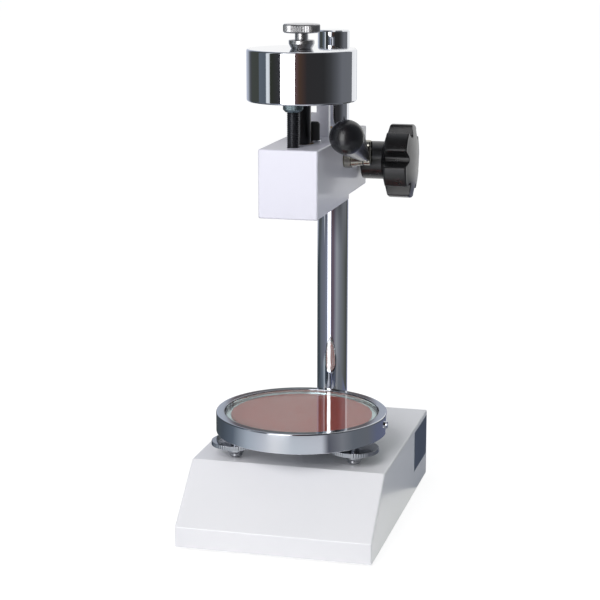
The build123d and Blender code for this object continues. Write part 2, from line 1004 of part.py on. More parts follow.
def lever_shaft():
    """Shaft with the collar that bears on the head's side."""
    shaft = lever_shaft_diameter / 2
    collar = lever_collar_diameter / 2
    left = -head_side - moving_gap - ring_thickness - shaft_end_length
    start = head_side + moving_gap
    cone = start + lever_collar_length
    cone_end = lever_plane - lever_eye_thickness / 2
    right = lever_plane + lever_eye_thickness / 2
    spigot = lever_spigot_diameter / 2
    groove = -head_side - moving_gap
    neck = shaft - ring_groove_depth
    profile = [
        (left, 0),
        (left, shaft),
        (groove - ring_thickness, shaft),
        (groove - ring_thickness, neck),
        (groove, neck),
        (groove, shaft),
        (start, shaft),
        (start, collar),
        (cone, collar),
        (cone, lever_cone_diameter / 2),
        (cone_end, lever_eye_diameter / 2),
        (cone_end, spigot),
        (right, spigot),
        (right, 0),
    ]
    body = revolve(make_face(Polyline(*profile, close=True)), Axis.X)
    body = Pos(0, lever_y, lever_axis) * body
    return body - crank_pin() - lever_pin()


def lever_retaining_ring():
    """Open ring in the shaft's groove, on the left."""
    right = -head_side - moving_gap
    left = right - ring_thickness
    neck = lever_shaft_diameter / 2 - ring_groove_depth
    ring = cross_rod(ring_diameter / 2, left, right, lever_y, lever_axis)
    ring -= cross_rod(neck, left - cut_overrun, right + cut_overrun, lever_y, lever_axis)
    half = ring_mouth / 2
    return ring - block(
        left - cut_overrun,
        right + cut_overrun,
        lever_y - half,
        lever_y + half,
        lever_axis - ring_diameter,
        lever_axis,
    )


def lever_head():
    """Teardrop link on the shaft's end."""
    eye = Circle(lever_eye_diameter / 2)
    horn = Pos(0, lever_horn_rise) * Circle(lever_horn_diameter / 2)
    outline = make_hull((eye + horn).edges())
    half = lever_eye_thickness / 2
    link = side_sketch(outline, lever_plane - half, lever_plane + half, lever_y, lever_axis)
    link = fillet(link.edges().filter_by(Plane.YZ), head_edge_radius)
    spigot = lever_spigot_diameter / 2
    link -= cross_rod(spigot, lever_plane - half, lever_plane + half, lever_y, lever_axis)
    link -= on_lever(rod(lever_rod_radius_in_link(), 0, lever_eye_diameter))
    link -= on_lever(rod(lever_rod_diameter / 2, lever_eye_diameter / 2, lever_length))
    return link - lever_pin()


def lever_rod_radius_in_link():
    """Radius of the threaded end of the lever's rod."""
    return lever_rod_diameter / 2 - lever_rod_step


def lever_arm():
    """Round rod from the link to the ball."""
    face = lever_eye_diameter / 2
    thin = lever_rod_radius_in_link()
    start = lever_spigot_diameter / 2 + moving_gap
    step = rod(thin, start, face)
    return on_lever(step + rod(lever_rod_diameter / 2, face, lever_length))


def lever_grip():
    """Ball that tapers into the rod."""
    ball = ball_diameter / 2
    tail = grip_tail_diameter / 2
    tail_level = lever_length - grip_length
    lean = atan2(ball - tail, grip_length)
    touch = (ball * cos(lean), lever_length - ball * sin(lean))
    shoulder = (tail + grip_shoulder_radius / 2, tail_level + grip_shoulder_radius)
    profile = make_face(
        [
            Polyline((0, tail_level), (tail, tail_level), shoulder, touch),
            RadiusArc(touch, (0, lever_length + ball), -ball, short_sagitta=True),
            Line((0, lever_length + ball), (0, tail_level)),
        ]
    )
    grip = revolve(Plane.XZ * profile, Axis.Z)
    rod_hole = rod(lever_rod_diameter / 2, tail_level - cut_overrun, lever_length)
    return on_lever(grip - rod_hole)


def lever_pin():
    """Pin through link and shaft."""
    reach = lever_eye_diameter / 2
    return rod(
        lever_pin_diameter / 2, lever_axis - reach, lever_axis + reach, lever_plane, lever_y
    )


def crank_pin():
    """Pin through the crank's right eye and the shaft."""
    reach = crank_eye_diameter / 2
    return rod(
        crank_pin_diameter / 2, lever_axis - reach, lever_axis + reach, crank_centre(), lever_y
    )


def crank_inner():
    """Inner face of a crank plate."""
    return spindle_diameter / 2 + crank_gap


def crank_centre():
    """Middle of a crank plate."""
    return crank_inner() + crank_plate / 2


def crank_fork():
    """Two plates and a web that turn with the shaft and drive the spindle's pin."""
    slot_half = fork_pin_diameter / 2 + slot_clearance
    tip = crank_reach + crank_tip_reach
    slot_inner = crank_reach - slot_inner_reach
    arm = Pos(-tip / 2, 0) * Rectangle(tip, 2 * crank_half_height)
    outline = Circle(crank_eye_diameter / 2) + arm
    slot = Pos(-(slot_inner + tip) / 2 - cut_overrun / 2, 0) * Rectangle(
        tip - slot_inner + cut_overrun, 2 * slot_half
    )
    outline -= slot
    outline -= Circle(lever_shaft_diameter / 2)
    near, far = crank_inner(), crank_inner() + crank_plate
    fork = side_sketch(outline, near, far, lever_y, lever_axis)
    fork += side_sketch(outline, -far, -near, lever_y, lever_axis)
    fork += block(
        -near,
        near,
        lever_y - crank_web_start - crank_web_length,
        lever_y - crank_web_start,
        spring_leg_height + lever_spring_wire / 2 + seat_gap / 2,
        lever_axis + crank_web_rise,
    )
    return fork - crank_pin()


def lever_spring():
    """Torsion spring round the shaft, with one leg under the crank's web."""
    rise = lever_spring_pitch * lever_spring_turns
    coil = Helix(lever_spring_pitch, rise, lever_spring_radius)
    start, end = coil @ 0, coil @ 1
    leg = Line(start - (coil % 0) * lever_spring_leg, start)
    heel = Line(end, end + (coil % 1) * lever_spring_heel)
    print("lever spring gap", round(lever_spring_pitch - lever_spring_wire, 2))
    path = Wire([leg.edge(), coil.edge(), heel.edge()])
    section = Plane(leg @ 0, z_dir=leg % 0) * Circle(lever_spring_wire / 2)
    wound = sweep(section, path=path)
    return Pos(-rise / 2, lever_y, lever_axis) * Rot(0, 90, 0) * wound


# Spindle and weight pieces
def spindle():
    """Round spindle with a spigot for the weight and a threaded hole below."""
    radius, spigot = spindle_diameter / 2, spigot_diameter / 2
    top = weight_top - spigot_top_margin
    body = turned(
        [
            (0, spindle_bottom),
            (radius - spindle_chamfer, spindle_bottom),
            (radius, spindle_bottom + spindle_chamfer),
            (radius, weight_bottom),
            (spigot, weight_bottom),
            (spigot, top),
            (0, top),
        ],
        0,
        work_y,
    )
    thread = spindle_bottom + tester_thread_depth
    body -= rod(tester_thread_bore / 2, spindle_bottom - cut_overrun, thread, 0, work_y)
    stud = knob_stud_diameter / 2 + running_clearance
    body -= rod(stud, weight_top - knob_stud_entry - cut_overrun, top + cut_overrun, 0, work_y)
    return body - fork_pin()


def fork_pin():
    """Cross pin that the crank's slots drive."""
    reach = crank_inner() + crank_plate + fork_pin_overhang
    return cross_rod(fork_pin_diameter / 2, -reach, reach, work_y, lever_axis)


def load_weight():
    """Plated weight."""
    disc = rod(weight_diameter / 2, weight_bottom, weight_top, 0, work_y)
    disc = fillet(disc.edges().filter_by(GeomType.CIRCLE), weight_edge_radius)
    low, high = weight_bottom - cut_overrun, weight_top + cut_overrun
    disc -= rod(spigot_diameter / 2, low, high, 0, work_y)
    return disc - rod(guide_rod_diameter / 2, low, weight_bottom + guide_rod_hold, 0, guide_rod_y)


def guide_rod():
    """Threaded rod that keeps the weight from turning."""
    radius = guide_rod_diameter / 2
    root = radius - guide_rod_thread_depth
    low = head_top - guide_rod_entry
    thread_end = weight_bottom - guide_nut_height
    turns = int((thread_end - head_top) / guide_rod_pitch)
    profile = [(0, low), (radius, low)]
    for i in range(turns):
        level = thread_end - (turns - i) * guide_rod_pitch
        profile.append((radius, level))
        profile.append((root, level + guide_rod_pitch / 2))
    top = weight_bottom + guide_rod_hold
    profile += [(radius, thread_end), (radius, top), (0, top)]
    return turned(profile, 0, guide_rod_y)


def guide_rod_nut():
    """Round lock nut under the weight."""
    radius, bore = guide_nut_diameter / 2, guide_rod_diameter / 2
    low = weight_bottom - guide_nut_height
    return turned(
        [
            (bore, low),
            (radius - guide_nut_chamfer, low),
            (radius, low + guide_nut_chamfer),
            (radius, weight_bottom),
            (bore, weight_bottom),
        ],
        0,
        guide_rod_y,
    )


# Weight knob pieces
def weight_knob():
    """Knurled knob that holds the weight on the spindle."""
    base = weight_top + seat_gap
    collar = base + weight_knob_flare_height
    collar_top = collar + weight_knob_collar_height
    head = collar_top + weight_knob_neck_height
    top = head + weight_knob_head_height
    rim = weight_knob_head_diameter / 2
    edge = weight_knob_chamfer
    stud = knob_stud_diameter / 2
    hold = weight_top + knob_stud_hold
    knob = turned(
        [
            (stud, base),
            (weight_knob_base_diameter / 2, base),
            (weight_knob_collar_diameter / 2, collar),
            (weight_knob_collar_diameter / 2, collar_top),
            (weight_knob_neck_diameter / 2, collar_top + edge),
            (weight_knob_neck_diameter / 2, head),
            (rim - edge, head),
            (rim, head + edge),
            (rim, top - edge),
            (rim - edge, top),
            (0, top),
            (0, hold),
            (stud, hold),
        ]
    )
    knob -= knurl_cutter(
        weight_knob_head_diameter,
        weight_knob_knurl_depth,
        weight_knob_knurl_count,
        head - cut_overrun,
        top + cut_overrun,
    )
    return Pos(0, work_y, 0) * knob


def weight_knob_stud():
    """Stud of the knob, screwed into the spindle's spigot."""
    return rod(
        knob_stud_diameter / 2,
        weight_top - knob_stud_entry,
        weight_top + knob_stud_hold,
        0,
        work_y,
    )


pieces = {
    "base_casing": base_casing(),
    "nameplate": nameplate(),
    "bottom_plate": bottom_plate(),
    "rubber_feet": at_feet(rubber_foot()),
    "foot_screws": at_feet(foot_screw()),
    "column": column(),
    "column_washer": column_washer(),
    "column_nut": column_nut(),
    "table_body": table_body(),
    "table_underlay": table_underlay(),
    "table_glass": table_glass(),
    "glass_screw": glass_screw(),
    "draw_bolt": draw_bolt(),
    "draw_washer": draw_washer(),
    "draw_nut": draw_nut(),
    "draw_spring": draw_spring(),
    "head_housing": head_housing(),
    "clamp_block": clamp_block(),
    "head_screws": head_screws(),
    "spindle_bushes": spindle_bushes(),
    "lever_bushes": lever_bushes(),
    "stop_stud": stop_stud(),
    "stop_bumper": stop_bumper(),
    "guide_finger": guide_finger(),
    "clamp_shoe": clamp_shoe(),
    "column_liner": column_liner(),
    "liner_circlip": liner_circlip(),
    "clamp_screw": clamp_screw(),
    "star_knob": star_knob(),
    "lever_shaft": lever_shaft(),
    "lever_retaining_ring": lever_retaining_ring(),
    "lever_head": lever_head(),
    "lever_pin": lever_pin(),
    "lever_arm": lever_arm(),
    "lever_grip": lever_grip(),
    "crank_fork": crank_fork(),
    "crank_pin": crank_pin(),
    "lever_spring": lever_spring(),
    "spindle": spindle(),
    "fork_pin": fork_pin(),
    "load_weight": load_weight(),
    "guide_rod": guide_rod(),
    "guide_rod_nut": guide_rod_nut(),
    "weight_knob": weight_knob(),
    "weight_knob_stud": weight_knob_stud(),
}
for side in levelling_angles:
    pieces["levelling_stud_" + side] = levelling_stud(side)
    pieces["levelling_wheel_" + side] = levelling_wheel(side)

os.makedirs("parts", exist_ok=True)
for name, piece in pieces.items():
    export_step(piece, "parts/" + name + ".step")
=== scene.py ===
# %% [markdown]
# # A stand for a hardness tester
#
# A white wedge-fronted base carries a levelling table with a glass top and a chromed column.
# A white head clamps to the column and lowers a chromed weight on a blackened spindle.
# The CAD model comes first, because every later piece takes its place from it.

# %% Load the CAD model
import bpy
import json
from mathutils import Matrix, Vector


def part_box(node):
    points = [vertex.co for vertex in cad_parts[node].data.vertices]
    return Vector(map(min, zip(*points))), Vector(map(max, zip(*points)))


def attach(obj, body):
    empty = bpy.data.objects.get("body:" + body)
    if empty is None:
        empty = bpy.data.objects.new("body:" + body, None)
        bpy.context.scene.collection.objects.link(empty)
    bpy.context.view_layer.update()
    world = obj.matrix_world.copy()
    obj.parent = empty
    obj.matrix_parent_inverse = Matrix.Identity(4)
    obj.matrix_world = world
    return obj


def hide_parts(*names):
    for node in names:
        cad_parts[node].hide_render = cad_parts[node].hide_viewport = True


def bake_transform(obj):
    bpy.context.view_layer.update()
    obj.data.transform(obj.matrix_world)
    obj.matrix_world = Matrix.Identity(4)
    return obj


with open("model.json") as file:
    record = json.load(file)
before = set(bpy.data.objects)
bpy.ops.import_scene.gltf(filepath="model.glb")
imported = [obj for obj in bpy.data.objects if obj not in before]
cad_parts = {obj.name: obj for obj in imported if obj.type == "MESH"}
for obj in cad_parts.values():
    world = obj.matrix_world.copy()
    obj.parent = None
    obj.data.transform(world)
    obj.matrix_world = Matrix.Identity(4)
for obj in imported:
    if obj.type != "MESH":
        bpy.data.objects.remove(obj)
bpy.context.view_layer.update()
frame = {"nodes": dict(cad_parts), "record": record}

# %% Tools and units
import json
import math
import bpy
import numpy as np
from mathutils import Matrix, Vector

mm = 0.001
TURN = 2 * math.pi

# %% [markdown]
# ## Reading places from the CAD
#
# A node's box gives its axis, its outer radius and its levels, so a piece that is remade finely
# lands exactly where the plain one is. Inner steps, which a box can't give, are named in millimetres
# beside each piece.

# %% Boxes of the CAD nodes


def span(node):
    """Low corner, high corner and middle of a CAD node, as arrays in metres."""
    low, high = (np.array(corner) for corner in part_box(node))
    return low, high, (low + high) / 2


weight_low, weight_high, weight_middle = span("load_weight")
work_y = weight_middle[1]
column_low, column_high, column_middle = span("column")
_, head_high, _ = span("head_housing")
print("work axis y mm", round(work_y / mm, 2), "head top mm", round(head_high[2] / mm, 2))

# %% [markdown]
# ## The camera
#
# The photograph was taken from the front, 14 degrees round to the right and looking down by about
# 12 degrees, with a long lens from a little over a metre away. The same lens and place give the
# same outline.

# %% Camera
camera_place = Vector((0.2668, -1.0621, 0.3896))
camera_turn = (math.radians(77.51), 0.0, math.radians(14.4))
lens_length = 101.4
camera_data = bpy.data.cameras.new("camera")
camera_data.lens = lens_length
camera_data.sensor_width = 36.0
camera_data.clip_end = 100.0
camera = bpy.data.objects.new("camera", camera_data)
camera.location = camera_place
camera.rotation_euler = camera_turn
bpy.context.scene.collection.objects.link(camera)
bpy.context.scene.camera = camera
print("camera distance m", round(camera_place.length, 3))

# %% [markdown]
# ## Grids into meshes
#
# Every new piece is a surface with two parameters. Its points are worked out as one numpy array of
# rows and columns, and the same index arithmetic joins neighbours into quads each time.

# %% Grid to mesh


def mesh_from_grid(name, grid, close_rows, close_columns, cap_start=False, cap_end=False):
    """Joins a (rows, columns, 3) grid into quads; a cap adds one point that closes an end row."""
    rows, columns, _ = grid.shape
    points = grid.reshape(-1, 3)
    r = np.arange(rows if close_rows else rows - 1)[:, None]
    c = np.arange(columns if close_columns else columns - 1)[None, :]
    r2, c2 = (r + 1) % rows, (c + 1) % columns
    quads = np.stack(
        [r * columns + c, r * columns + c2, r2 * columns + c2, r2 * columns + c], axis=-1
    ).reshape(-1, 4)
    faces = [quads]
    ring = np.arange(columns)
    for wanted, row, flip in ((cap_start, 0, True), (cap_end, rows - 1, False)):
        if not wanted:
            continue
        hub = len(points)
        points = np.vstack([points, grid[row].mean(axis=0)[None, :]])
        base = row * columns
        fan = np.stack([base + ring, base + (ring + 1) % columns, np.full(columns, hub)], axis=-1)
        faces.append(fan[:, ::-1] if flip else fan)
    mesh = bpy.data.meshes.new(name)
    mesh.vertices.add(len(points))
    mesh.vertices.foreach_set("co", points.astype(np.float32).ravel())
    loops = np.concatenate([f.ravel() for f in faces])
    sizes = np.concatenate([np.full(len(f), f.shape[1]) for f in faces])
    mesh.loops.add(len(loops))
    mesh.loops.foreach_set("vertex_index", loops.astype(np.int32))
    mesh.polygons.add(len(sizes))
    starts = np.concatenate([[0], np.cumsum(sizes)[:-1]])
    mesh.polygons.foreach_set("loop_start", starts.astype(np.int32))
    mesh.polygons.foreach_set("use_smooth", np.ones(len(sizes), bool))
    mesh.update(calc_edges=True)
    mesh.validate()
    return mesh


def add_piece(name, mesh, body, node, finish):
    """Puts a mesh on a CAD body in place of a CAD node; a piece with no body is left unattached."""
    piece = bpy.data.objects.new(name, mesh)
    bpy.context.scene.collection.objects.link(piece)
    weighted = piece.modifiers.new("face weighted normals", "WEIGHTED_NORMAL")
    weighted.weight = 100
    if body:
        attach(piece, body)
    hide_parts(node)
    piece.data.materials.append(finish[0])
    return piece


print("grid tools ready")

# %% [markdown]
# ## Rounded profiles
#
# Turned parts never have knife edges: the lathe hand breaks each corner with a file. A profile is a
# list of corners with a radius for each, and a small arc takes the place of every corner. That arc
# is what catches a bright line along each edge. A solid's profile starts and ends close to the axis,
# at the radius called pole, and one point closes each end.

# %% Profiles


def rounded(corners, closed=False, steps=6):
    """Points (radius, level) along corners given as (radius, level, corner radius) in millimetres."""
    data = np.array(corners, float)
    count = len(data)
    out = []
    for i in range(count):
        here, bend = data[i, :2], data[i, 2]
        if bend <= 0 or (not closed and i in (0, count - 1)):
            out.append(here[None, :])
            continue
        a, b = data[i - 1, :2] - here, data[(i + 1) % count, :2] - here
        la, lb = np.linalg.norm(a), np.linalg.norm(b)
        a, b = a / la, b / lb
        half = math.acos(float(np.clip(a @ b, -1, 1))) / 2
        reach = min(bend / math.tan(half), 0.49 * la, 0.49 * lb)
        radius = reach * math.tan(half)
        centre = here + (a + b) / np.linalg.norm(a + b) * radius / math.sin(half)
        start, end = here + a * reach - centre, here + b * reach - centre
        first = math.atan2(start[1], start[0])
        sweep = (math.atan2(end[1], end[0]) - first + math.pi) % TURN - math.pi
        angles = first + sweep * np.linspace(0, 1, steps + 1)
        out.append(centre + radius * np.stack([np.cos(angles), np.sin(angles)], axis=-1))
    return np.vstack(out) * mm


def turned(profile, segments=128, ripple=None):
    """Grid of a profile carried round Z: (r cos t, r sin t, z), with r changed by ripple(r, t, z)."""
    t = np.linspace(0, TURN, segments, endpoint=False)[None, :]
    r = np.repeat(profile[:, 0][:, None], segments, axis=1)
    z = np.repeat(profile[:, 1][:, None], segments, axis=1)
    if ripple:
        r = ripple(r, t, z)
    return np.stack([r * np.cos(t), r * np.sin(t), z], axis=-1)


def carried(grid, turn, place):
    """A grid turned by a 3 by 3 matrix and moved to a place."""
    return grid @ np.array(turn, float).T + np.array(place, float)


UPRIGHT = np.eye(3)
ALONG_X = np.array(Matrix.Rotation(math.radians(90), 3, "Y"))
pole = 0.3


def lathe(
    name, corners, body, finish, place, node, turn=UPRIGHT, ring=False, segments=128, ripple=None
):
    """A whole turned piece: profile, grid, mesh and place in one call. A ring's profile is closed."""
    profile = rounded(corners, closed=ring)
    grid = carried(turned(profile, segments, ripple), turn, place)
    solid = not ring
    mesh = mesh_from_grid(name, grid, ring, True, solid, solid)
    return add_piece(name, mesh, body, node, finish)


print("profile tools ready")

# %% [markdown]
# ## One way to add a shader node
#
# A material is a small graph. One helper adds a node, sets what it is given and links what is a
# socket, so each finish below reads as a short recipe.

# %% Shader helper


def linear(code):
    """sRGB hex colour as linear RGBA: divide by 12.92 below 0.04045, else raise to 2.4."""
    value = np.array([int(code[i : i + 2], 16) for i in (1, 3, 5)]) / 255
    low, high = value / 12.92, ((value + 0.055) / 1.055) ** 2.4
    return [float(v) for v in np.where(value <= 0.04045, low, high)] + [1.0]


def add(tree, kind, inputs=None, **settings):
    """Adds a node; inputs maps a socket to a value or to another node's output socket."""
    node = tree.nodes.new(kind)
    for key, value in settings.items():
        setattr(node, key, value)
    for key, value in (inputs or {}).items():
        if isinstance(value, bpy.types.NodeSocket):
            tree.links.new(value, node.inputs[key])
        else:
            node.inputs[key].default_value = value
    return node


def new_material(name):
    """An empty material with its output node, and the object's own coordinates."""
    material = bpy.data.materials.new(name)
    material.use_nodes = True
    tree = material.node_tree
    tree.nodes.clear()
    place = add(tree, "ShaderNodeTexCoord").outputs["Object"]
    return material, tree, place


def close(tree, shader):
    """Links a shader to the material's output."""
    add(tree, "ShaderNodeOutputMaterial", {"Surface": shader.outputs[0]})


def per(length_in_mm):
    """Texture scale for one feature per this many millimetres."""
    return 1 / (length_in_mm * mm)


print("shader helper ready")

# %% [markdown]
# ## White stoving enamel
#
# The base and the head are sprayed and baked white. The eye reads a cool white, a soft broad gloss
# and a very fine orange peel. The peel's waves are about 1.5 mm across, and slow drifts of tone keep
# the large faces from looking like paper. The head gets a darker, bluer copy of the same enamel,
# which is painted shade.

# %% White enamel


def make_enamel(name, light, shade):
    """Dielectric with a clear coat, orange-peel bump and slow tone drift."""
    material, tree, place = new_material(name)
    drift = add(tree, "ShaderNodeTexNoise", {"Vector": place, "Scale": per(60), "Detail": 3.0})
    tone = add(
        tree,
        "ShaderNodeMix",
        {"Factor": drift.outputs["Fac"], "A": linear(light), "B": linear(shade)},
        data_type="RGBA",
    )
    peel = add(tree, "ShaderNodeTexNoise", {"Vector": place, "Scale": per(1.5), "Detail": 2.0})
    bump = add(
        tree,
        "ShaderNodeBump",
        {"Height": peel.outputs["Fac"], "Strength": 0.12, "Distance": 0.05 * mm},
    )
    gloss = add(
        tree,
        "ShaderNodeMapRange",
        {"Value": drift.outputs["Fac"], "To Min": 0.28, "To Max": 0.4},
    )
    paint = add(
        tree,
        "ShaderNodeBsdfPrincipled",
        {
            "Base Color": tone.outputs[2],
            "Roughness": gloss.outputs[0],
            "IOR": 1.5,
            "Coat Weight": 0.35,
            "Coat Roughness": 0.12,
            "Normal": bump.outputs[0],
        },
    )
    close(tree, paint)
    return material


white_enamel = make_enamel("white stoving enamel", "#F1F0F1", "#EAEAEC")
# The head is the same white paint as the base; this darker, bluer copy is painted shade on it.
shade_painted_enamel = make_enamel("white stoving enamel with painted shade", "#D9D8E2", "#D2D1DC")
print("enamels", 2)

# %% [markdown]
# ## Chromium plate
#
# The column, the weight and the small bright parts are nickel and chromium plated steel: a cool
# mirror that shows the studio. Polished parts are nearly perfect mirrors, and satin parts keep the
# marks of the turning tool, fine rings some tenths of a millimetre apart, drawn here at 0.4 mm.

# %% Chromium plate


def make_chrome(name, code, smooth, rough, mark_mm, mark_strength, direction="Z"):
    """Metal with turning marks across one axis and a breath of smudging."""
    material, tree, place = new_material(name)
    marks = add(
        tree,
        "ShaderNodeTexWave",
        {"Vector": place, "Scale": per(mark_mm) / TURN, "Distortion": 0.6, "Detail": 1.0},
        bands_direction=direction,
    )
    smudge = add(tree, "ShaderNodeTexNoise", {"Vector": place, "Scale": per(14), "Detail": 4.0})
    gloss = add(
        tree,
        "ShaderNodeMapRange",
        {"Value": smudge.outputs["Fac"], "To Min": smooth, "To Max": rough},
    )
    bump = add(
        tree,
        "ShaderNodeBump",
        {"Height": marks.outputs["Fac"], "Strength": mark_strength, "Distance": 0.01 * mm},
    )
    metal = add(
        tree,
        "ShaderNodeBsdfPrincipled",
        {
            "Base Color": linear(code),
            "Metallic": 1.0,
            "Roughness": gloss.outputs[0],
            "Normal": bump.outputs[0],
        },
    )
    close(tree, metal)
    return material


mirror_chrome = make_chrome("polished chromium plate", "#DFE1E6", 0.03, 0.07, 0.4, 0.02)
satin_chrome = make_chrome("fine turned chromium plate", "#CED1D8", 0.07, 0.11, 0.4, 0.05)
dull_nickel = make_chrome("dull nickel plate", "#A5A298", 0.12, 0.2, 0.4, 0.05)
turned_nickel = make_chrome("turned nickel plate", "#B2B4B9", 0.1, 0.16, 0.4, 0.05)
knurled_chrome = make_chrome("knurled chromium plate", "#CCCCCE", 0.28, 0.36, 0.4, 0.12)
turned_steel = make_chrome("zinc plated steel", "#A9ACB2", 0.28, 0.4, 0.5, 0.2)
brass = make_chrome("turned brass", "#C79A4A", 0.22, 0.34, 0.4, 0.15)
black_oxide = make_chrome("blackened steel", "#47484B", 0.25, 0.38, 0.4, 0.1)
grey_anodised = make_chrome("grey anodised aluminium", "#77868B", 0.3, 0.42, 0.3, 0.12)
dark_anodised = make_chrome("dark anodised aluminium", "#7C888A", 0.34, 0.42, 0.5, 0.05, "X")
print("metals", 10)

# %% [markdown]
# ## Black phenolic and rubber
#
# The ball grip is polished phenolic, which gives a clean window of light on black. The star knob is
# moulded in the same stuff but comes satin from its mould, with a faint mottle. The stop and the
# feet are rubber: a dark grey that never gets bright.

# %% Black mouldings


def make_moulding(name, code, smooth, rough, grain_mm, grain_strength):
    """Dark dielectric with a mottled gloss and a fine moulded grain."""
    material, tree, place = new_material(name)
    mottle = add(tree, "ShaderNodeTexNoise", {"Vector": place, "Scale": per(7), "Detail": 4.0})
    grain = add(tree, "ShaderNodeTexNoise", {"Vector": place, "Scale": per(grain_mm), "Detail": 2.0})
    gloss = add(
        tree,
        "ShaderNodeMapRange",
        {"Value": mottle.outputs["Fac"], "To Min": smooth, "To Max": rough},
    )
    bump = add(
        tree,
        "ShaderNodeBump",
        {"Height": grain.outputs["Fac"], "Strength": grain_strength, "Distance": 0.05 * mm},
    )
    body = add(
        tree,
        "ShaderNodeBsdfPrincipled",
        {
            "Base Color": linear(code),
            "Roughness": gloss.outputs[0],
            "IOR": 1.55,
            "Normal": bump.outputs[0],
        },
    )
    close(tree, body)
    return material


ball_phenolic = make_moulding("polished black phenolic", "#17171A", 0.22, 0.3, 0.8, 0.05)
knob_phenolic = make_moulding("moulded black phenolic", "#161617", 0.24, 0.34, 0.7, 0.2)
black_rubber = make_moulding("black rubber", "#232324", 0.55, 0.7, 0.5, 0.4)
red_sheet = make_moulding("red underlay sheet", "#B33C33", 0.5, 0.6, 0.6, 0.1)
print("mouldings", 4)

# %% [markdown]
# ## Float glass
#
# The specimen lies on a ground glass disc. Seen through its face the glass is clear, and along its
# edge it is green-blue, because there the light has come a long way through it. Shadow rays and
# scattered light pass straight through, which keeps the sheet below it as bright as in a real room.

# %% Float glass


def make_glass(name):
    """Smooth refracting shell that lets shadow rays and scattered light through."""
    material, tree, place = new_material(name)
    haze = add(tree, "ShaderNodeTexNoise", {"Vector": place, "Scale": per(20), "Detail": 2.0})
    gloss = add(
        tree, "ShaderNodeMapRange", {"Value": haze.outputs["Fac"], "To Min": 0.0, "To Max": 0.01}
    )
    glass = add(
        tree,
        "ShaderNodeBsdfPrincipled",
        {
            "Base Color": linear("#EFFAF7"),
            "Roughness": gloss.outputs[0],
            "IOR": 1.52,
            "Transmission Weight": 1.0,
        },
    )
    clear = add(tree, "ShaderNodeBsdfTransparent", {"Color": linear("#F8FCFB")})
    ray = add(tree, "ShaderNodeLightPath")
    soft = add(
        tree,
        "ShaderNodeMath",
        {0: ray.outputs["Is Shadow Ray"], 1: ray.outputs["Is Diffuse Ray"]},
        operation="MAXIMUM",
    )
    both = add(
        tree, "ShaderNodeMixShader", {0: soft.outputs[0], 1: glass.outputs[0], 2: clear.outputs[0]}
    )
    close(tree, both)
    return material


float_glass = make_glass("float glass")
print("glass", float_glass.name)

# %% [markdown]
# ## The CAD nodes that stay
#
# Boxes, plates, screws and springs are already right. Their mesh is loose triangles, so a weld, a
# split at hard edges and face weighted normals give flat faces and soft fillets without moving a
# point.

# %% Finishes of the CAD nodes
finish_of_slot = {
    "white_paint": white_enamel,
    "chrome_plate": mirror_chrome,
    "zinc_steel": turned_steel,
    "spring_steel": turned_steel,
    "black_oxide": black_oxide,
    "black_plastic": knob_phenolic,
    "black_rubber": black_rubber,
    "red_underlay": red_sheet,
    "clear_glass": float_glass,
    "bearing_brass": brass,
    "dark_plate": dark_anodised,
    "grey_nut": grey_anodised,
}
finish_of_node = {"lever_head": dull_nickel}
# Head, clamp block and guide finger take the darker enamel copy, which is painted shade.
finish_of_node.update({name: shade_painted_enamel for name in ("head_housing", "clamp_block", "guide_finger")})
slot_of_node = {part["node"]: part["material_slot"] for part in frame["record"]["subparts"]}
hard_edge = math.radians(32)
for name, piece in frame["nodes"].items():
    piece.data.materials.clear()
    piece.data.materials.append(finish_of_node.get(name, finish_of_slot[slot_of_node[name]]))
    piece.data.polygons.foreach_set("use_smooth", np.ones(len(piece.data.polygons), bool))
    weld = piece.modifiers.new("weld", "WELD")
    weld.merge_threshold = 0.002 * mm
    split = piece.modifiers.new("hard edges", "EDGE_SPLIT")
    split.split_angle = hard_edge
    weighted = piece.modifiers.new("face weighted normals", "WEIGHTED_NORMAL")
    weighted.weight = 100
print("dressed nodes", len(frame["nodes"]))

# %% [markdown]
# ## The column
#
# A ground and plated bar with a chamfered end. As a finely turned surface, its reflections run
# straight from top to bottom.

# %% Column
column_radius = (column_high[0] - column_low[0]) / 2 / mm
stud_radius, shoulder_level, end_chamfer = 6.0, 24.5, 1.0
low, high = column_low[2] / mm, column_high[2] / mm
lathe(
    "column_bar",
    [
        (stud_radius, low, 0),
        (stud_radius, shoulder_level, 0),
        (column_radius, shoulder_level, 0.2),
        (column_radius, high - end_chamfer, 0.3),
        (column_radius - end_chamfer, high, 0.3),
        (0.5, high, 0),
    ],
    "base",
    (mirror_chrome, "chrome_plate"),
    (0, column_middle[1], 0),
    node="column",
)
print("column radius mm", column_radius)

# %% [markdown]
# ## The weight
#
# The disc is turned from bar, its edges rounded by about a millimetre, then polished and plated.

# %% Weight
weight_radius = (weight_high[0] - weight_low[0]) / 2 / mm
low, high = weight_low[2] / mm, weight_high[2] / mm
edge, bore = 1.3, 4.5
lathe(
    "plated_weight",
    [
        (bore, low, 0.2),
        (weight_radius, low, edge),
        (weight_radius, high, edge),
        (bore, high, 0.2),
    ],
    "load",
    (mirror_chrome, "chrome_plate"),
    (0, work_y, 0),
    node="load_weight",
    ring=True,
    segments=192,
)
print("weight mm", 2 * weight_radius, high - low)

# %% [markdown]
# ## The levelling table
#
# A dish turned with a raised rim. Its outer face is satin, and its lips are broken by a small
# radius that draws a bright line round the glass.

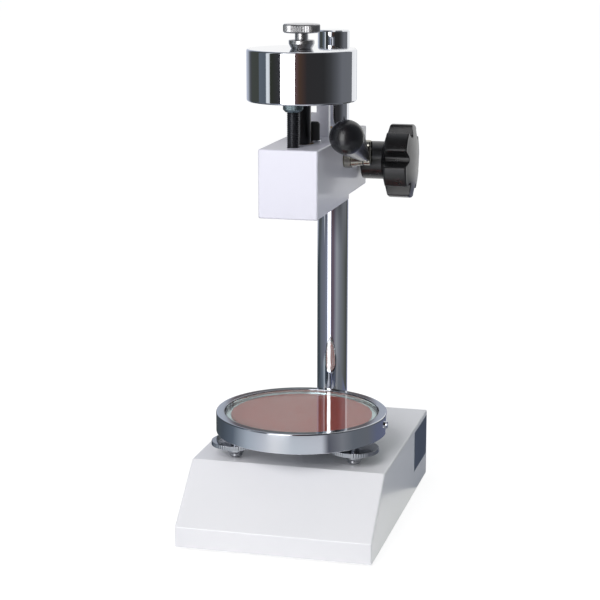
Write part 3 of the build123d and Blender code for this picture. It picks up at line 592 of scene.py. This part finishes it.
# %% Table dish and glass
dish_low, dish_high, _ = span("table_body")
glass_low, glass_high, _ = span("table_glass")
under_low, _, _ = span("table_underlay")
rim = (dish_high[0] - dish_low[0]) / 2 / mm
pane = (glass_high[0] - glass_low[0]) / 2 / mm
glass_gap, glass_arris = 0.15, 0.5
pocket = pane + glass_gap
low, high, floor_level = dish_low[2] / mm, dish_high[2] / mm, under_low[2] / mm
lathe(
    "table_dish",
    [
        (0.5, low, 0),
        (rim, low, 0.4),
        (rim, high, 0.9),
        (pocket, high, 0.35),
        (pocket, floor_level, 0.3),
        (0.5, floor_level, 0),
    ],
    "table",
    (satin_chrome, "chrome_plate"),
    (0, work_y, 0),
    node="table_body",
    segments=192,
)
air_film = 0.05
low, high = glass_low[2] / mm + air_film, glass_high[2] / mm
lathe(
    "glass_disc",
    [
        (0.5, low, 0),
        (pane - glass_arris, low, 0.1),
        (pane, low + glass_arris, 0.1),
        (pane, high - glass_arris, 0.1),
        (pane - glass_arris, high, 0.1),
        (0.5, high, 0),
    ],
    "table",
    (float_glass, "clear_glass"),
    (0, work_y, 0),
    node="table_glass",
    segments=192,
)
print("table radius mm", rim, "glass mm", round(high - low, 2))

# %% [markdown]
# ## Knurled parts
#
# A knurl is pressed into a rim by hard wheels and leaves straight teeth. In numbers it is a ripple:
# the radius falls by a triangle wave of the angle, and only where the profile is near the rim.

# %% Knurls


def knurl(count, depth, rim_radius, face=0.6):
    """Ripple that cuts count straight grooves of this depth (mm), within face mm of the rim."""

    def ripple(r, t, z):
        wave = np.abs((t * count / TURN) % 1 - 0.5) * 2
        near = np.clip((r - (rim_radius - face) * mm) / (face * mm), 0, 1)
        return r - depth * mm * wave * near

    return ripple


wheel_rim, wheel_hub, wheel_hub_height, wheel_chamfer = 15.9, 6.2, 5.6, 1.6
wheel_teeth, tooth_depth, thread_radius, foot_chamfer = 60, 0.3, 3.0, 0.8
wheels = {"left": "levelling_left", "right": "levelling_right", "rear": "levelling_rear"}
for side, body in wheels.items():
    stud_low, stud_high, place = span("levelling_stud_" + side)
    wheel_low, wheel_high, _ = span("levelling_wheel_" + side)
    x, y = place[0], place[1]
    foot, base = (stud_high[0] - stud_low[0]) / 2 / mm, stud_low[2] / mm
    hub, top = wheel_low[2] / mm, wheel_high[2] / mm
    under = hub + wheel_hub_height
    lathe(
        "knurled_wheel_" + side,
        [
            (thread_radius, hub, 0.1),
            (wheel_hub - wheel_chamfer, hub, 0.2),
            (wheel_hub, hub + wheel_chamfer, 0.3),
            (wheel_hub, under, 0.3),
            (wheel_rim, under, 0.3),
            (wheel_rim, top, 0.3),
            (thread_radius, top, 0.1),
        ],
        body,
        (turned_nickel, "chrome_plate"),
        (x, y, 0),
        node="levelling_wheel_" + side,
        ring=True,
        segments=480,
        ripple=knurl(wheel_teeth, tooth_depth, wheel_rim),
    )
    lathe(
        "levelling_screw_" + side,
        [
            (pole, base, 0),
            (foot - foot_chamfer, base, 0.3),
            (foot, base + foot_chamfer, 0.4),
            (foot, hub, 0.2),
            (thread_radius, hub, 0),
            (thread_radius, stud_high[2] / mm, 0.2),
            (pole, stud_high[2] / mm, 0),
        ],
        body,
        (turned_nickel, "chrome_plate"),
        (x, y, 0),
        node="levelling_stud_" + side,
    )
print("wheels", len(wheels))

# %% [markdown]
# ## The draw spring
#
# A spring inside the base pulls the table down on its screws. Its top bears on the casing and its
# foot goes up with the table. The wire is a circle carried along a helix, drawn as one fixed coil.

# %% Draw spring


def helix_tube(coil, wire, low, high, turns, rows=240, columns=16):
    """Grid of a helix (R cos a, R sin a, rise a / total) plus wire (cos b outward + sin b across)."""
    a = np.linspace(0, TURN * turns, rows)[:, None, None]
    b = np.linspace(0, TURN, columns, endpoint=False)[None, :, None]
    slope = (high - low) / (TURN * turns)
    outward = np.concatenate([np.cos(a), np.sin(a), 0 * a], axis=-1)
    along = np.concatenate([-coil * np.sin(a), coil * np.cos(a), slope + 0 * a], axis=-1)
    along = along / np.linalg.norm(along, axis=-1, keepdims=True)
    line = coil * outward + np.concatenate([0 * a, 0 * a, low + slope * a], axis=-1)
    return line + wire * (np.cos(b) * outward + np.sin(b) * np.cross(along, outward))


spring_low, spring_high, spring_place = span("draw_spring")
wire, coil_turns = 0.6 * mm, 6
coil = (spring_high[0] - spring_low[0]) / 2 - wire
spring = add_piece(
    "draw_spring_coil",
    mesh_from_grid(
        "draw_spring_coil",
        carried(
            helix_tube(coil, wire, spring_low[2] + wire, spring_high[2] - wire, coil_turns),
            UPRIGHT,
            (0, spring_place[1], 0),
        ),
        False,
        True,
        True,
        True,
    ),
    None,
    "draw_spring",
    (turned_steel, "spring_steel"),
)
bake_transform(spring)
print("coil radius mm", round(coil / mm, 2))

# %% [markdown]
# ## Knob, spindle and guide rod
#
# The small knob on top is turned in one piece and knurled. Below the weight stand the smooth black
# spindle and, in front of it, a black threaded rod with a grey lock nut. Its thread is a real helix:
# the radius falls as a triangle wave of the level minus the angle times the pitch.

# %% Small turned parts of the load
knob_low, knob_high, _ = span("weight_knob")
base = knob_low[2] / mm
top = knob_high[2] / mm
knob_rim, knob_height, knob_chamfer, knob_neck, knob_teeth = 11.75, 5.5, 0.8, 4.25, 72
collar_foot, collar_radius = 6.7, 8.2
collar_widest, collar_edge, collar_top = 3.0, 5.3, 5.6
under = top - knob_height
lathe(
    "knurled_top_knob",
    [
        (pole, base, 0),
        (collar_foot, base, 0.3),
        (collar_radius, base + collar_widest, 0.3),
        (collar_radius, base + collar_edge, 0.5),
        (knob_neck, base + collar_top, 0.5),
        (knob_neck, under, 0.6),
        (knob_rim - knob_chamfer, under, 0.3),
        (knob_rim, under + knob_chamfer, 0.2),
        (knob_rim, top - knob_chamfer, 0.2),
        (knob_rim - knob_chamfer, top, 0.3),
        (pole, top, 0),
    ],
    "weight_knob",
    (knurled_chrome, "chrome_plate"),
    (0, work_y, 0),
    node="weight_knob",
    segments=720,
    ripple=knurl(knob_teeth, tooth_depth, knob_rim),
)

spindle_low, spindle_high, _ = span("spindle")
low, high, seat = spindle_low[2] / mm, spindle_high[2] / mm, weight_low[2] / mm
spindle_radius, tenon_radius = 6.0, 4.5
tester_hole, knob_hole, hole_depth = 2.5, 3.05, 12.0
lathe(
    "blackened_spindle",
    [
        (tester_hole, low, 0.1),
        (spindle_radius, low, 0.6),
        (spindle_radius, seat, 0),
        (tenon_radius, seat, 0),
        (tenon_radius, high, 0.2),
        (knob_hole, high, 0),
        (knob_hole, high - hole_depth, 0),
        (pole, high - hole_depth, 0),
        (pole, low + hole_depth, 0),
        (tester_hole, low + hole_depth, 0),
    ],
    "load",
    (black_oxide, "black_oxide"),
    (0, work_y, 0),
    node="spindle",
    ring=True,
)

guide_low, guide_high, guide_place = span("guide_rod")
thread_pitch, thread_depth, thread_core = 1.25, 0.5, 3.0
thread_start, thread_end, thread_step = head_high[2] / mm, seat - 5.0, 0.15
guide_radius = 4.0


def thread(r, t, z):
    """Helix: the radius falls by the thread's depth as a triangle wave of z / pitch - t / turn."""
    turns = z / mm / thread_pitch - t / TURN
    wave = np.abs(turns % 1 - 0.5) * 2
    cut = (z > thread_start * mm) & (z < thread_end * mm) & (r > thread_core * mm)
    return r - thread_depth * mm * wave * cut


levels = np.arange(thread_start + 0.2, thread_end, thread_step)
rod_profile = [(pole, guide_low[2] / mm, 0), (guide_radius, guide_low[2] / mm, 0.2)]
rod_profile += [(guide_radius, float(level), 0) for level in levels]
rod_profile += [(guide_radius, guide_high[2] / mm, 0), (pole, guide_high[2] / mm, 0)]
lathe(
    "threaded_guide",
    rod_profile,
    "load",
    (black_oxide, "black_oxide"),
    (0, guide_place[1], 0),
    node="guide_rod",
    segments=64,
    ripple=thread,
)

nut_low, nut_high, nut_place = span("guide_rod_nut")
low, high = nut_low[2] / mm, nut_high[2] / mm
nut_radius, nut_chamfer = (nut_high[0] - nut_low[0]) / 2 / mm, 1.6
lathe(
    "lock_nut",
    [
        (guide_radius, low, 0.1),
        (nut_radius - nut_chamfer, low, 0.3),
        (nut_radius, low + nut_chamfer, 0.3),
        (nut_radius, high, 0.2),
        (guide_radius, high, 0.1),
    ],
    "load",
    (grey_anodised, "grey_nut"),
    (0, nut_place[1], 0),
    node="guide_rod_nut",
    ring=True,
    segments=240,
    ripple=knurl(48, 0.18, nut_radius),
)
print("thread turns", round((thread_end - thread_start) / thread_pitch, 1))

# %% [markdown]
# ## The stroke stop
#
# A rubber cap with a round top on a chromed washer. Its softness is in its outline.

# %% Stop
stop_low, stop_high, stop_place = span("stop_bumper")
low, high = stop_low[2] / mm, stop_high[2] / mm
stop_radius = (stop_high[0] - stop_low[0]) / 2 / mm
lathe(
    "rubber_stop",
    [(pole, low, 0), (stop_radius, low, 0.3), (stop_radius, high, 2.2), (pole, high, 0)],
    "head",
    (black_rubber, "black_rubber"),
    (stop_place[0], stop_place[1], 0),
    node="stop_bumper",
)
washer_low, washer_high, washer_place = span("stop_stud")
low, washer_radius = washer_low[2] / mm, (washer_high[0] - washer_low[0]) / 2 / mm
roof, washer_height, stop_stud = head_high[2] / mm, 1.0, 2.0
lathe(
    "stop_washer",
    [
        (pole, low, 0),
        (stop_stud, low, 0.2),
        (stop_stud, roof, 0),
        (washer_radius, roof, 0.1),
        (washer_radius, roof + washer_height, 0.4),
        (stop_stud, roof + washer_height, 0),
        (stop_stud, washer_high[2] / mm, 0.2),
        (pole, washer_high[2] / mm, 0),
    ],
    "head",
    (mirror_chrome, "chrome_plate"),
    (washer_place[0], washer_place[1], 0),
    node="stop_stud",
)
print("stop radius mm", stop_radius)

# %% [markdown]
# ## The lever
#
# A plated shaft leaves the head through a collar that tapers. A teardrop link on its end carries a
# thin rod, and the rod ends in a black ball that tapers back along it. Ball, rod and shaft are
# turned about their own lines, so the lathe grid is tilted before it is placed.

# %% Lever
shaft_low, shaft_high, shaft_place = span("lever_shaft")
lever_y, lever_z = shaft_place[1], shaft_place[2]
lever_plane = 34.5 * mm
rest_angle = math.radians(19.8)
lever_length, ball, tail, grip_length = 65.3, 11.0, 3.6, 50.0
rod, rod_thread, rod_gap, spigot, eye = 2.25, 1.45, 0.3, 2.2, 3.5
link_left = 31.8
head_side, side_gap = head_high[0] / mm, 0.3
shaft_radius, groove_radius, groove_width = 4.0, 3.5, 1.0
groove_right = -head_side - side_gap
groove_left = groove_right - groove_width
lever_collar, collar_length, taper_radius = 5.8, 4.7, 5.0
collar_start = head_side + side_gap
collar_end = collar_start + collar_length
lathe(
    "lever_spindle",
    [
        (pole, shaft_low[0] / mm, 0),
        (shaft_radius, shaft_low[0] / mm, 0.4),
        (shaft_radius, groove_left, 0),
        (groove_radius, groove_left, 0),
        (groove_radius, groove_right, 0),
        (shaft_radius, groove_right, 0),
        (shaft_radius, collar_start, 0),
        (lever_collar, collar_start, 0.3),
        (lever_collar, collar_end, 0.4),
        (taper_radius, collar_end, 0.2),
        (eye, link_left, 0.1),
        (spigot, link_left, 0),
        (spigot, shaft_high[0] / mm, 0.2),
        (pole, shaft_high[0] / mm, 0),
    ],
    "lever",
    (dull_nickel, "chrome_plate"),
    (0, lever_y, lever_z),
    node="lever_shaft",
    turn=ALONG_X,
)
along_lever = np.array(Matrix.Rotation(math.radians(90) - rest_angle, 3, "X"))
lever_place = (lever_plane, lever_y, lever_z)
lathe(
    "lever_rod",
    [
        (pole, spigot + rod_gap, 0),
        (rod_thread, spigot + rod_gap, 0.2),
        (rod_thread, eye, 0),
        (rod, eye, 0.2),
        (rod, lever_length, 0.2),
        (pole, lever_length, 0),
    ],
    "lever",
    (dull_nickel, "chrome_plate"),
    lever_place,
    node="lever_arm",
    turn=along_lever,
)
lean = math.atan2(ball - tail, grip_length)
arc = np.linspace(-lean, math.pi / 2 - 0.03, 40)
grip_start = lever_length - grip_length
grip_profile = [(rod, grip_start, 0.2), (tail, grip_start, 0.5), (tail + 1.0, grip_start + 2.0, 1.5)]
grip_profile += [(ball * math.cos(a), lever_length + ball * math.sin(a), 0) for a in arc]
grip_profile += [(pole, lever_length + ball, 0), (pole, lever_length, 0), (rod, lever_length, 0)]
lathe(
    "ball_grip",
    grip_profile,
    "lever",
    (ball_phenolic, "black_plastic"),
    lever_place,
    node="lever_grip",
    turn=along_lever,
    ring=True,
)
print("lever reach mm", lever_length)

# %% [markdown]
# ## The star knob
#
# Six lobes stand round a hub. The outline is a radius for each angle: the larger of the core and of
# the nearest lobe, where a lobe is a bar with parallel sides, so its radius is half the width over
# the sine of the angle. A turned envelope then limits the radius at each station along the axis. A
# smooth minimum joins the two, and its softness is the rounding of every edge.

# %% Star knob
_, _, knob_centre = span("clamp_screw")
star_low, star_high, _ = span("star_knob")
knob_y, knob_z = knob_centre[1], knob_centre[2]
star_tip, star_core, star_half = 25.3, 18.0, 7.5


def smooth_min(a, b, soft):
    """Lesser of a and b, rounded over soft: -log(exp(-a/s) + exp(-b/s)) s."""
    return -soft * np.logaddexp(-a / soft, -b / soft)


def star_outline(t):
    """Radius in millimetres at each angle, with the first lobe at angle zero."""
    sixth = TURN / 6
    local = (t + sixth / 2) % sixth - sixth / 2
    bar = star_half / np.maximum(np.abs(np.sin(local)), 1e-6)
    lobe = smooth_min(bar, np.full_like(bar, star_tip), 1.2)
    return -smooth_min(-lobe, np.full_like(lobe, -star_core), 0.8)


hub_length, hub_radius, lobe_thickness, back_slope = 19.0, 12.9, 15.1, 4.0
back, shoulder = star_low[0] / mm, star_low[0] / mm + hub_length
rim_end, face = shoulder + lobe_thickness, star_high[0] / mm
top_lobe_lean = math.radians(10)
dome_edge, dome_rise, dome_rows = 23.7, 2.6, 30
dome_radius = (dome_edge**2 + dome_rise**2) / (2 * dome_rise)
dome_r = dome_edge * (1 - np.linspace(0, 1, dome_rows))
dome_x = face - dome_radius + np.sqrt(dome_radius**2 - dome_r**2)
rim_radius = 1.6
envelope = rounded(
    [
        (4.0, back, 0),
        (hub_radius, back, 1.2),
        (hub_radius, shoulder - back_slope, 0.8),
        (star_tip, shoulder, rim_radius),
        (star_tip, rim_end, rim_radius),
        (23.0, rim_end + 0.25, 0),
    ],
    steps=10,
)
wall_rows, columns, wall_inset = 12, 720, rim_radius + 0.1
walls = np.linspace(shoulder + wall_inset, rim_end - wall_inset, wall_rows)
front = envelope[envelope[:, 1] < (shoulder + rim_radius + 0.05) * mm]
rear = envelope[envelope[:, 1] > (rim_end - rim_radius - 0.05) * mm]
body_line = np.stack([np.full(wall_rows, star_tip), walls], axis=-1) * mm
dome_line = np.stack([dome_r, dome_x], axis=-1)[1:-1] * mm
line = np.vstack([front, body_line, rear[:-1], dome_line])
angles = np.linspace(0, TURN, columns, endpoint=False)[None, :]
outline = star_outline(angles + top_lobe_lean)
limit = line[:, 0][:, None] / mm
in_lobes = (line[:, 1][:, None] / mm) > shoulder - back_slope - 0.1
radius = np.where(in_lobes, smooth_min(outline, limit, 0.35), np.minimum(limit, hub_radius))
radius = np.maximum(radius, 0.05) * mm
station = np.repeat(line[:, 1][:, None], columns, axis=1)
star = np.stack([station, -radius * np.sin(angles), radius * np.cos(angles)], axis=-1)
star_mesh = mesh_from_grid(
    "six_lobe_knob", carried(star, UPRIGHT, (0, knob_y, knob_z)), False, True, True, True
)
add_piece("six_lobe_knob", star_mesh, "clamp_knob", "star_knob", (knob_phenolic, "black_plastic"))
print("star knob faces", len(star_mesh.polygons))

# %% [markdown]
# ## Floor, backdrop and light
#
# The product was shot on white. The floor keeps a soft shadow, and the world is white to the camera
# and to mirrors. One broad lamp at the camera's left lights the front faces, and the world fills the
# rest, so the top is a step darker than the front, and the right side a step darker again. The fill
# from the right is a little green-blue.

# %% World


def seen_directly(tree):
    """Socket that is 1 for rays from the camera, from a mirror or through glass, and 0 for others."""
    ray = add(tree, "ShaderNodeLightPath")
    sharp = add(
        tree,
        "ShaderNodeMath",
        {0: ray.outputs["Is Glossy Ray"], 1: ray.outputs["Is Transmission Ray"]},
        operation="MAXIMUM",
    )
    both = add(
        tree,
        "ShaderNodeMath",
        {0: ray.outputs["Is Camera Ray"], 1: sharp.outputs[0]},
        operation="MAXIMUM",
    )
    return both.outputs[0]


world = bpy.data.worlds.new("white studio")
bpy.context.scene.world = world
world.use_nodes = True
tree = world.node_tree
tree.nodes.clear()
toward = add(tree, "ShaderNodeTexCoord").outputs["Generated"]
side = add(tree, "ShaderNodeSeparateXYZ", {"Vector": toward})
rightward = add(
    tree,
    "ShaderNodeMapRange",
    {"Value": side.outputs["X"], "From Min": -0.1, "From Max": 0.7},
)
wash = add(
    tree,
    "ShaderNodeMix",
    {"Factor": rightward.outputs[0], "A": linear("#F2F3F6"), "B": linear("#BBC4C0")},
    data_type="RGBA",
)
fill = add(tree, "ShaderNodeBackground", {"Color": wash.outputs[2], "Strength": 0.62})
white = add(tree, "ShaderNodeBackground", {"Color": linear("#FFFFFF"), "Strength": 1.0})
sky = add(
    tree,
    "ShaderNodeMixShader",
    {0: seen_directly(tree), 1: fill.outputs[0], 2: white.outputs[0]},
)
add(tree, "ShaderNodeOutputWorld", {"Surface": sky.outputs[0]})
print("world", world.name)

# %% Floor
floor_half = 20.0
floor_mesh = bpy.data.meshes.new("floor")
floor_mesh.from_pydata(
    [(x * floor_half, y * floor_half, 0) for x, y in ((-1, -1), (1, -1), (1, 1), (-1, 1))],
    [],
    [(0, 1, 2, 3)],
)
floor = bpy.data.objects.new("floor", floor_mesh)
bpy.context.scene.collection.objects.link(floor)
floor_paper, tree, place = new_material("white background paper")
fibre = add(tree, "ShaderNodeTexNoise", {"Vector": place, "Scale": per(3), "Detail": 3.0})
tone = add(
    tree,
    "ShaderNodeMix",
    {"Factor": fibre.outputs["Fac"], "A": linear("#F4F4F5"), "B": linear("#FBFBFC")},
    data_type="RGBA",
)
matt = add(tree, "ShaderNodeBsdfDiffuse", {"Color": tone.outputs[2]})
glow = add(tree, "ShaderNodeEmission", {"Color": linear("#FFFFFF"), "Strength": 1.22})
share = add(tree, "ShaderNodeMath", {0: seen_directly(tree), 1: 0.72}, operation="MULTIPLY")
paper = add(
    tree, "ShaderNodeMixShader", {0: share.outputs[0], 1: matt.outputs[0], 2: glow.outputs[0]}
)
close(tree, paper)
floor_mesh.materials.append(floor_paper)
print("floor m", 2 * floor_half)

# %% Lamps


def add_lamp(name, place, aim, size, power, colour):
    """Square area lamp that faces a point; it lights matt surfaces, and mirrors don't see it."""
    data = bpy.data.lights.new(name, "AREA")
    data.shape = "SQUARE"
    data.size = size
    data.energy = power
    data.color = linear(colour)[:3]
    lamp = bpy.data.objects.new(name, data)
    lamp.location = place
    lamp.rotation_euler = (Vector(aim) - Vector(place)).to_track_quat("-Z", "Y").to_euler()
    lamp.visible_glossy = False
    bpy.context.scene.collection.objects.link(lamp)
    return lamp


key_distance, key_size, aim_height, key_light = 2.0, 0.9, 0.15, 0.535
key_power = key_light * math.pi**2 * key_distance**2
key_angle, key_rise = math.radians(-14), math.radians(35)
key_place = (
    key_distance * math.sin(key_angle) * math.cos(key_rise),
    -key_distance * math.cos(key_angle) * math.cos(key_rise),
    key_distance * math.sin(key_rise) + aim_height,
)
add_lamp("front softbox", key_place, (0, 0, aim_height), key_size, key_power, "#FCFBFF")
print("key watts", round(key_power, 1))

# %% [markdown]
# ## Cards round the set
#
# Chrome has no colour of its own: it shows the room. The photographer's room was dark at the front
# and sides, with one bright window of light left of the camera, and white behind. Curved cards stand
# round the object, seen by mirrors and by nothing else. Each spans from one bearing to another,
# counted from the camera's side, so the weight carries the bands of the photograph. The column and
# the dish look lower, at the table the object stood on, so the room and the window change to a
# milder colour near their foot, and an apron on the floor runs on towards the object.

# %% Cards
near, far, ceiling = 0.31, 0.5, 0.75
fade_from, fade_to = 0.07, 0.13
camera_bearing = 14.4
room_wall = [
    (-170, "#C8CEDE"),
    (-158, "#C5CBDC"),
    (-144, "#B0B7C3"),
    (-134, "#6A6D72"),
    (-128, "#4E5156"),
    (-123, "#4A4E4A"),
    (-98, "#484C48"),
    (-96, "#646D77"),
    (-77, "#5F6871"),
    (-76, "#F6FCFF"),
    (-68, "#E4E8EC"),
    (-67, "#34382F"),
    (-43, "#3A3A3F"),
    (-13, "#665152"),
    (-5, "#503E33"),
    (5, "#413634"),
    (11, "#333233"),
    (45, "#333334"),
    (60, "#434446"),
    (75, "#5A5C60"),
    (90, "#727479"),
    (126, "#75777B"),
]
room_foot = [
    (-170, "#333D43"),
    (-123, "#4A5258"),
    (-108, "#6A7078"),
    (-68, "#787B88"),
    (-44, "#8A90A0"),
    (-13, "#7A7684"),
    (0, "#6A5A64"),
    (12, "#6E6470"),
    (20, "#82808C"),
    (37, "#9EA1A5"),
    (64, "#80838A"),
    (93, "#6E7172"),
    (126, "#50524F"),
]
backdrop_wall = [
    (160, "#B9BEC8"),
    (171.5, "#B9BEC8"),
    (172.5, "#6C6466"),
    (181, "#767C7D"),
    (187.5, "#6E6467"),
    (188.5, "#BCC2CC"),
    (205, "#BCC2CC"),
]


def across(tree, place, first, last, stops):
    """Colour by bearing: atan2(x, work_y - y) in degrees past the camera's, looked up between stops."""
    parts = add(tree, "ShaderNodeSeparateXYZ", {"Vector": place})
    ahead = add(tree, "ShaderNodeMath", {0: float(work_y), 1: parts.outputs["Y"]}, operation="SUBTRACT")
    angle = add(tree, "ShaderNodeMath", {0: parts.outputs["X"], 1: ahead.outputs[0]}, operation="ARCTAN2")
    low = math.radians(camera_bearing + first)
    past = add(tree, "ShaderNodeMath", {0: angle.outputs[0], 1: low}, operation="SUBTRACT")
    whole = add(tree, "ShaderNodeMath", {0: past.outputs[0], 1: TURN, 2: 0.0}, operation="WRAP")
    ramp = add(tree, "ShaderNodeValToRGB")
    share = add(
        tree,
        "ShaderNodeMath",
        {0: whole.outputs[0], 1: math.radians(last - first)},
        operation="DIVIDE",
    )
    tree.links.new(share.outputs[0], ramp.inputs[0])
    marks = ramp.color_ramp.elements
    while len(marks) > 1:
        marks.remove(marks[-1])
    for i, (bearing, code) in enumerate(stops):
        position = (bearing - first) / (last - first)
        mark = marks[0] if i == 0 else marks.new(position)
        mark.position, mark.color = position, linear(code)
    return ramp.outputs[0]


def add_card(name, first, last, path, wall, foot=None, strength=1.0):
    """Curved card between two bearings; its section is a path of (reach, height) points."""
    bearing = np.radians(camera_bearing + np.linspace(first, last, 96))[None, :]
    reach, height = np.array(path).T[:, :, None]
    grid = np.stack(
        [reach * np.sin(bearing), work_y - reach * np.cos(bearing), height + 0 * bearing], axis=-1
    )
    mesh = mesh_from_grid("card_" + name, grid, False, False)
    card = bpy.data.objects.new("card_" + name, mesh)
    bpy.context.scene.collection.objects.link(card)
    material, tree, place = new_material("card " + name.replace("_", " "))
    colour = across(tree, place, first, last, wall)
    if foot:
        level = add(tree, "ShaderNodeSeparateXYZ", {"Vector": place})
        fade = add(
            tree,
            "ShaderNodeMapRange",
            {"Value": level.outputs["Z"], "From Min": fade_from, "From Max": fade_to},
        )
        mixed = add(
            tree,
            "ShaderNodeMix",
            {
                "Factor": fade.outputs[0],
                "A": across(tree, place, first, last, foot),
                "B": colour,
            },
            data_type="RGBA",
        )
        colour = mixed.outputs[2]
    close(tree, add(tree, "ShaderNodeEmission", {"Color": colour, "Strength": strength}))
    mesh.materials.append(material)
    card.visible_camera = False
    card.visible_diffuse = False
    card.visible_transmission = False
    card.visible_volume_scatter = False
    card.visible_shadow = False
    return card


white_card = [(-43, "#FFFFFF"), (-14, "#FFFFFF")]
pale_foot = [(-43, "#C8CAD4"), (-38, "#F4F4FA"), (-22, "#F4F4FA"), (-14, "#B0B2C0")]
apron = [
    (-165, "#464D4B"),
    (-120, "#535B64"),
    (-95, "#6A747F"),
    (-70, "#BFC8D0"),
    (-50, "#DCE0E6"),
    (-32, "#FFFFFF"),
    (-10, "#E0E6EA"),
    (24, "#E2E4E8"),
    (32, "#64656E"),
    (50, "#8D8F93"),
    (66, "#72777D"),
    (90, "#74777C"),
    (110, "#6E748A"),
    (165, "#70748C"),
]
olive_edge = [(126, "#50524F"), (139, "#4C5044"), (144, "#8C90A8"), (165, "#8E92AA")]
room_path = [(near, 0.001), (far, 0.001), (far, ceiling), (0.02, ceiling)]
window_path = [(near, 0.002), (0.495, 0.002), (0.495, 0.7)]
cards = [
    add_card("room", -170, 126, room_path, room_wall, room_foot),
    add_card("window", -43, -14, window_path, white_card, pale_foot, 2.6),
    add_card("window_top", -43, -14, [(0.49, 0.15), (0.49, 0.5)], white_card, None, 4.0),
    add_card("apron", -165, 165, [(0.1, 0.003), (near, 0.003)], apron),
    add_card("low_right", 126, 165, [(near, 0.001), (far, 0.001), (far, 0.14)], olive_edge),
    add_card("backdrop", 160, 205, [(far, 0.12), (far, 0.32)], backdrop_wall),
]
print("cards", len(cards))

# %% [markdown]
# ## View
#
# Colours go to the screen as they are written. Nothing drawn may grow the object.

# %% Finish
bpy.context.scene.view_settings.view_transform = "Standard"
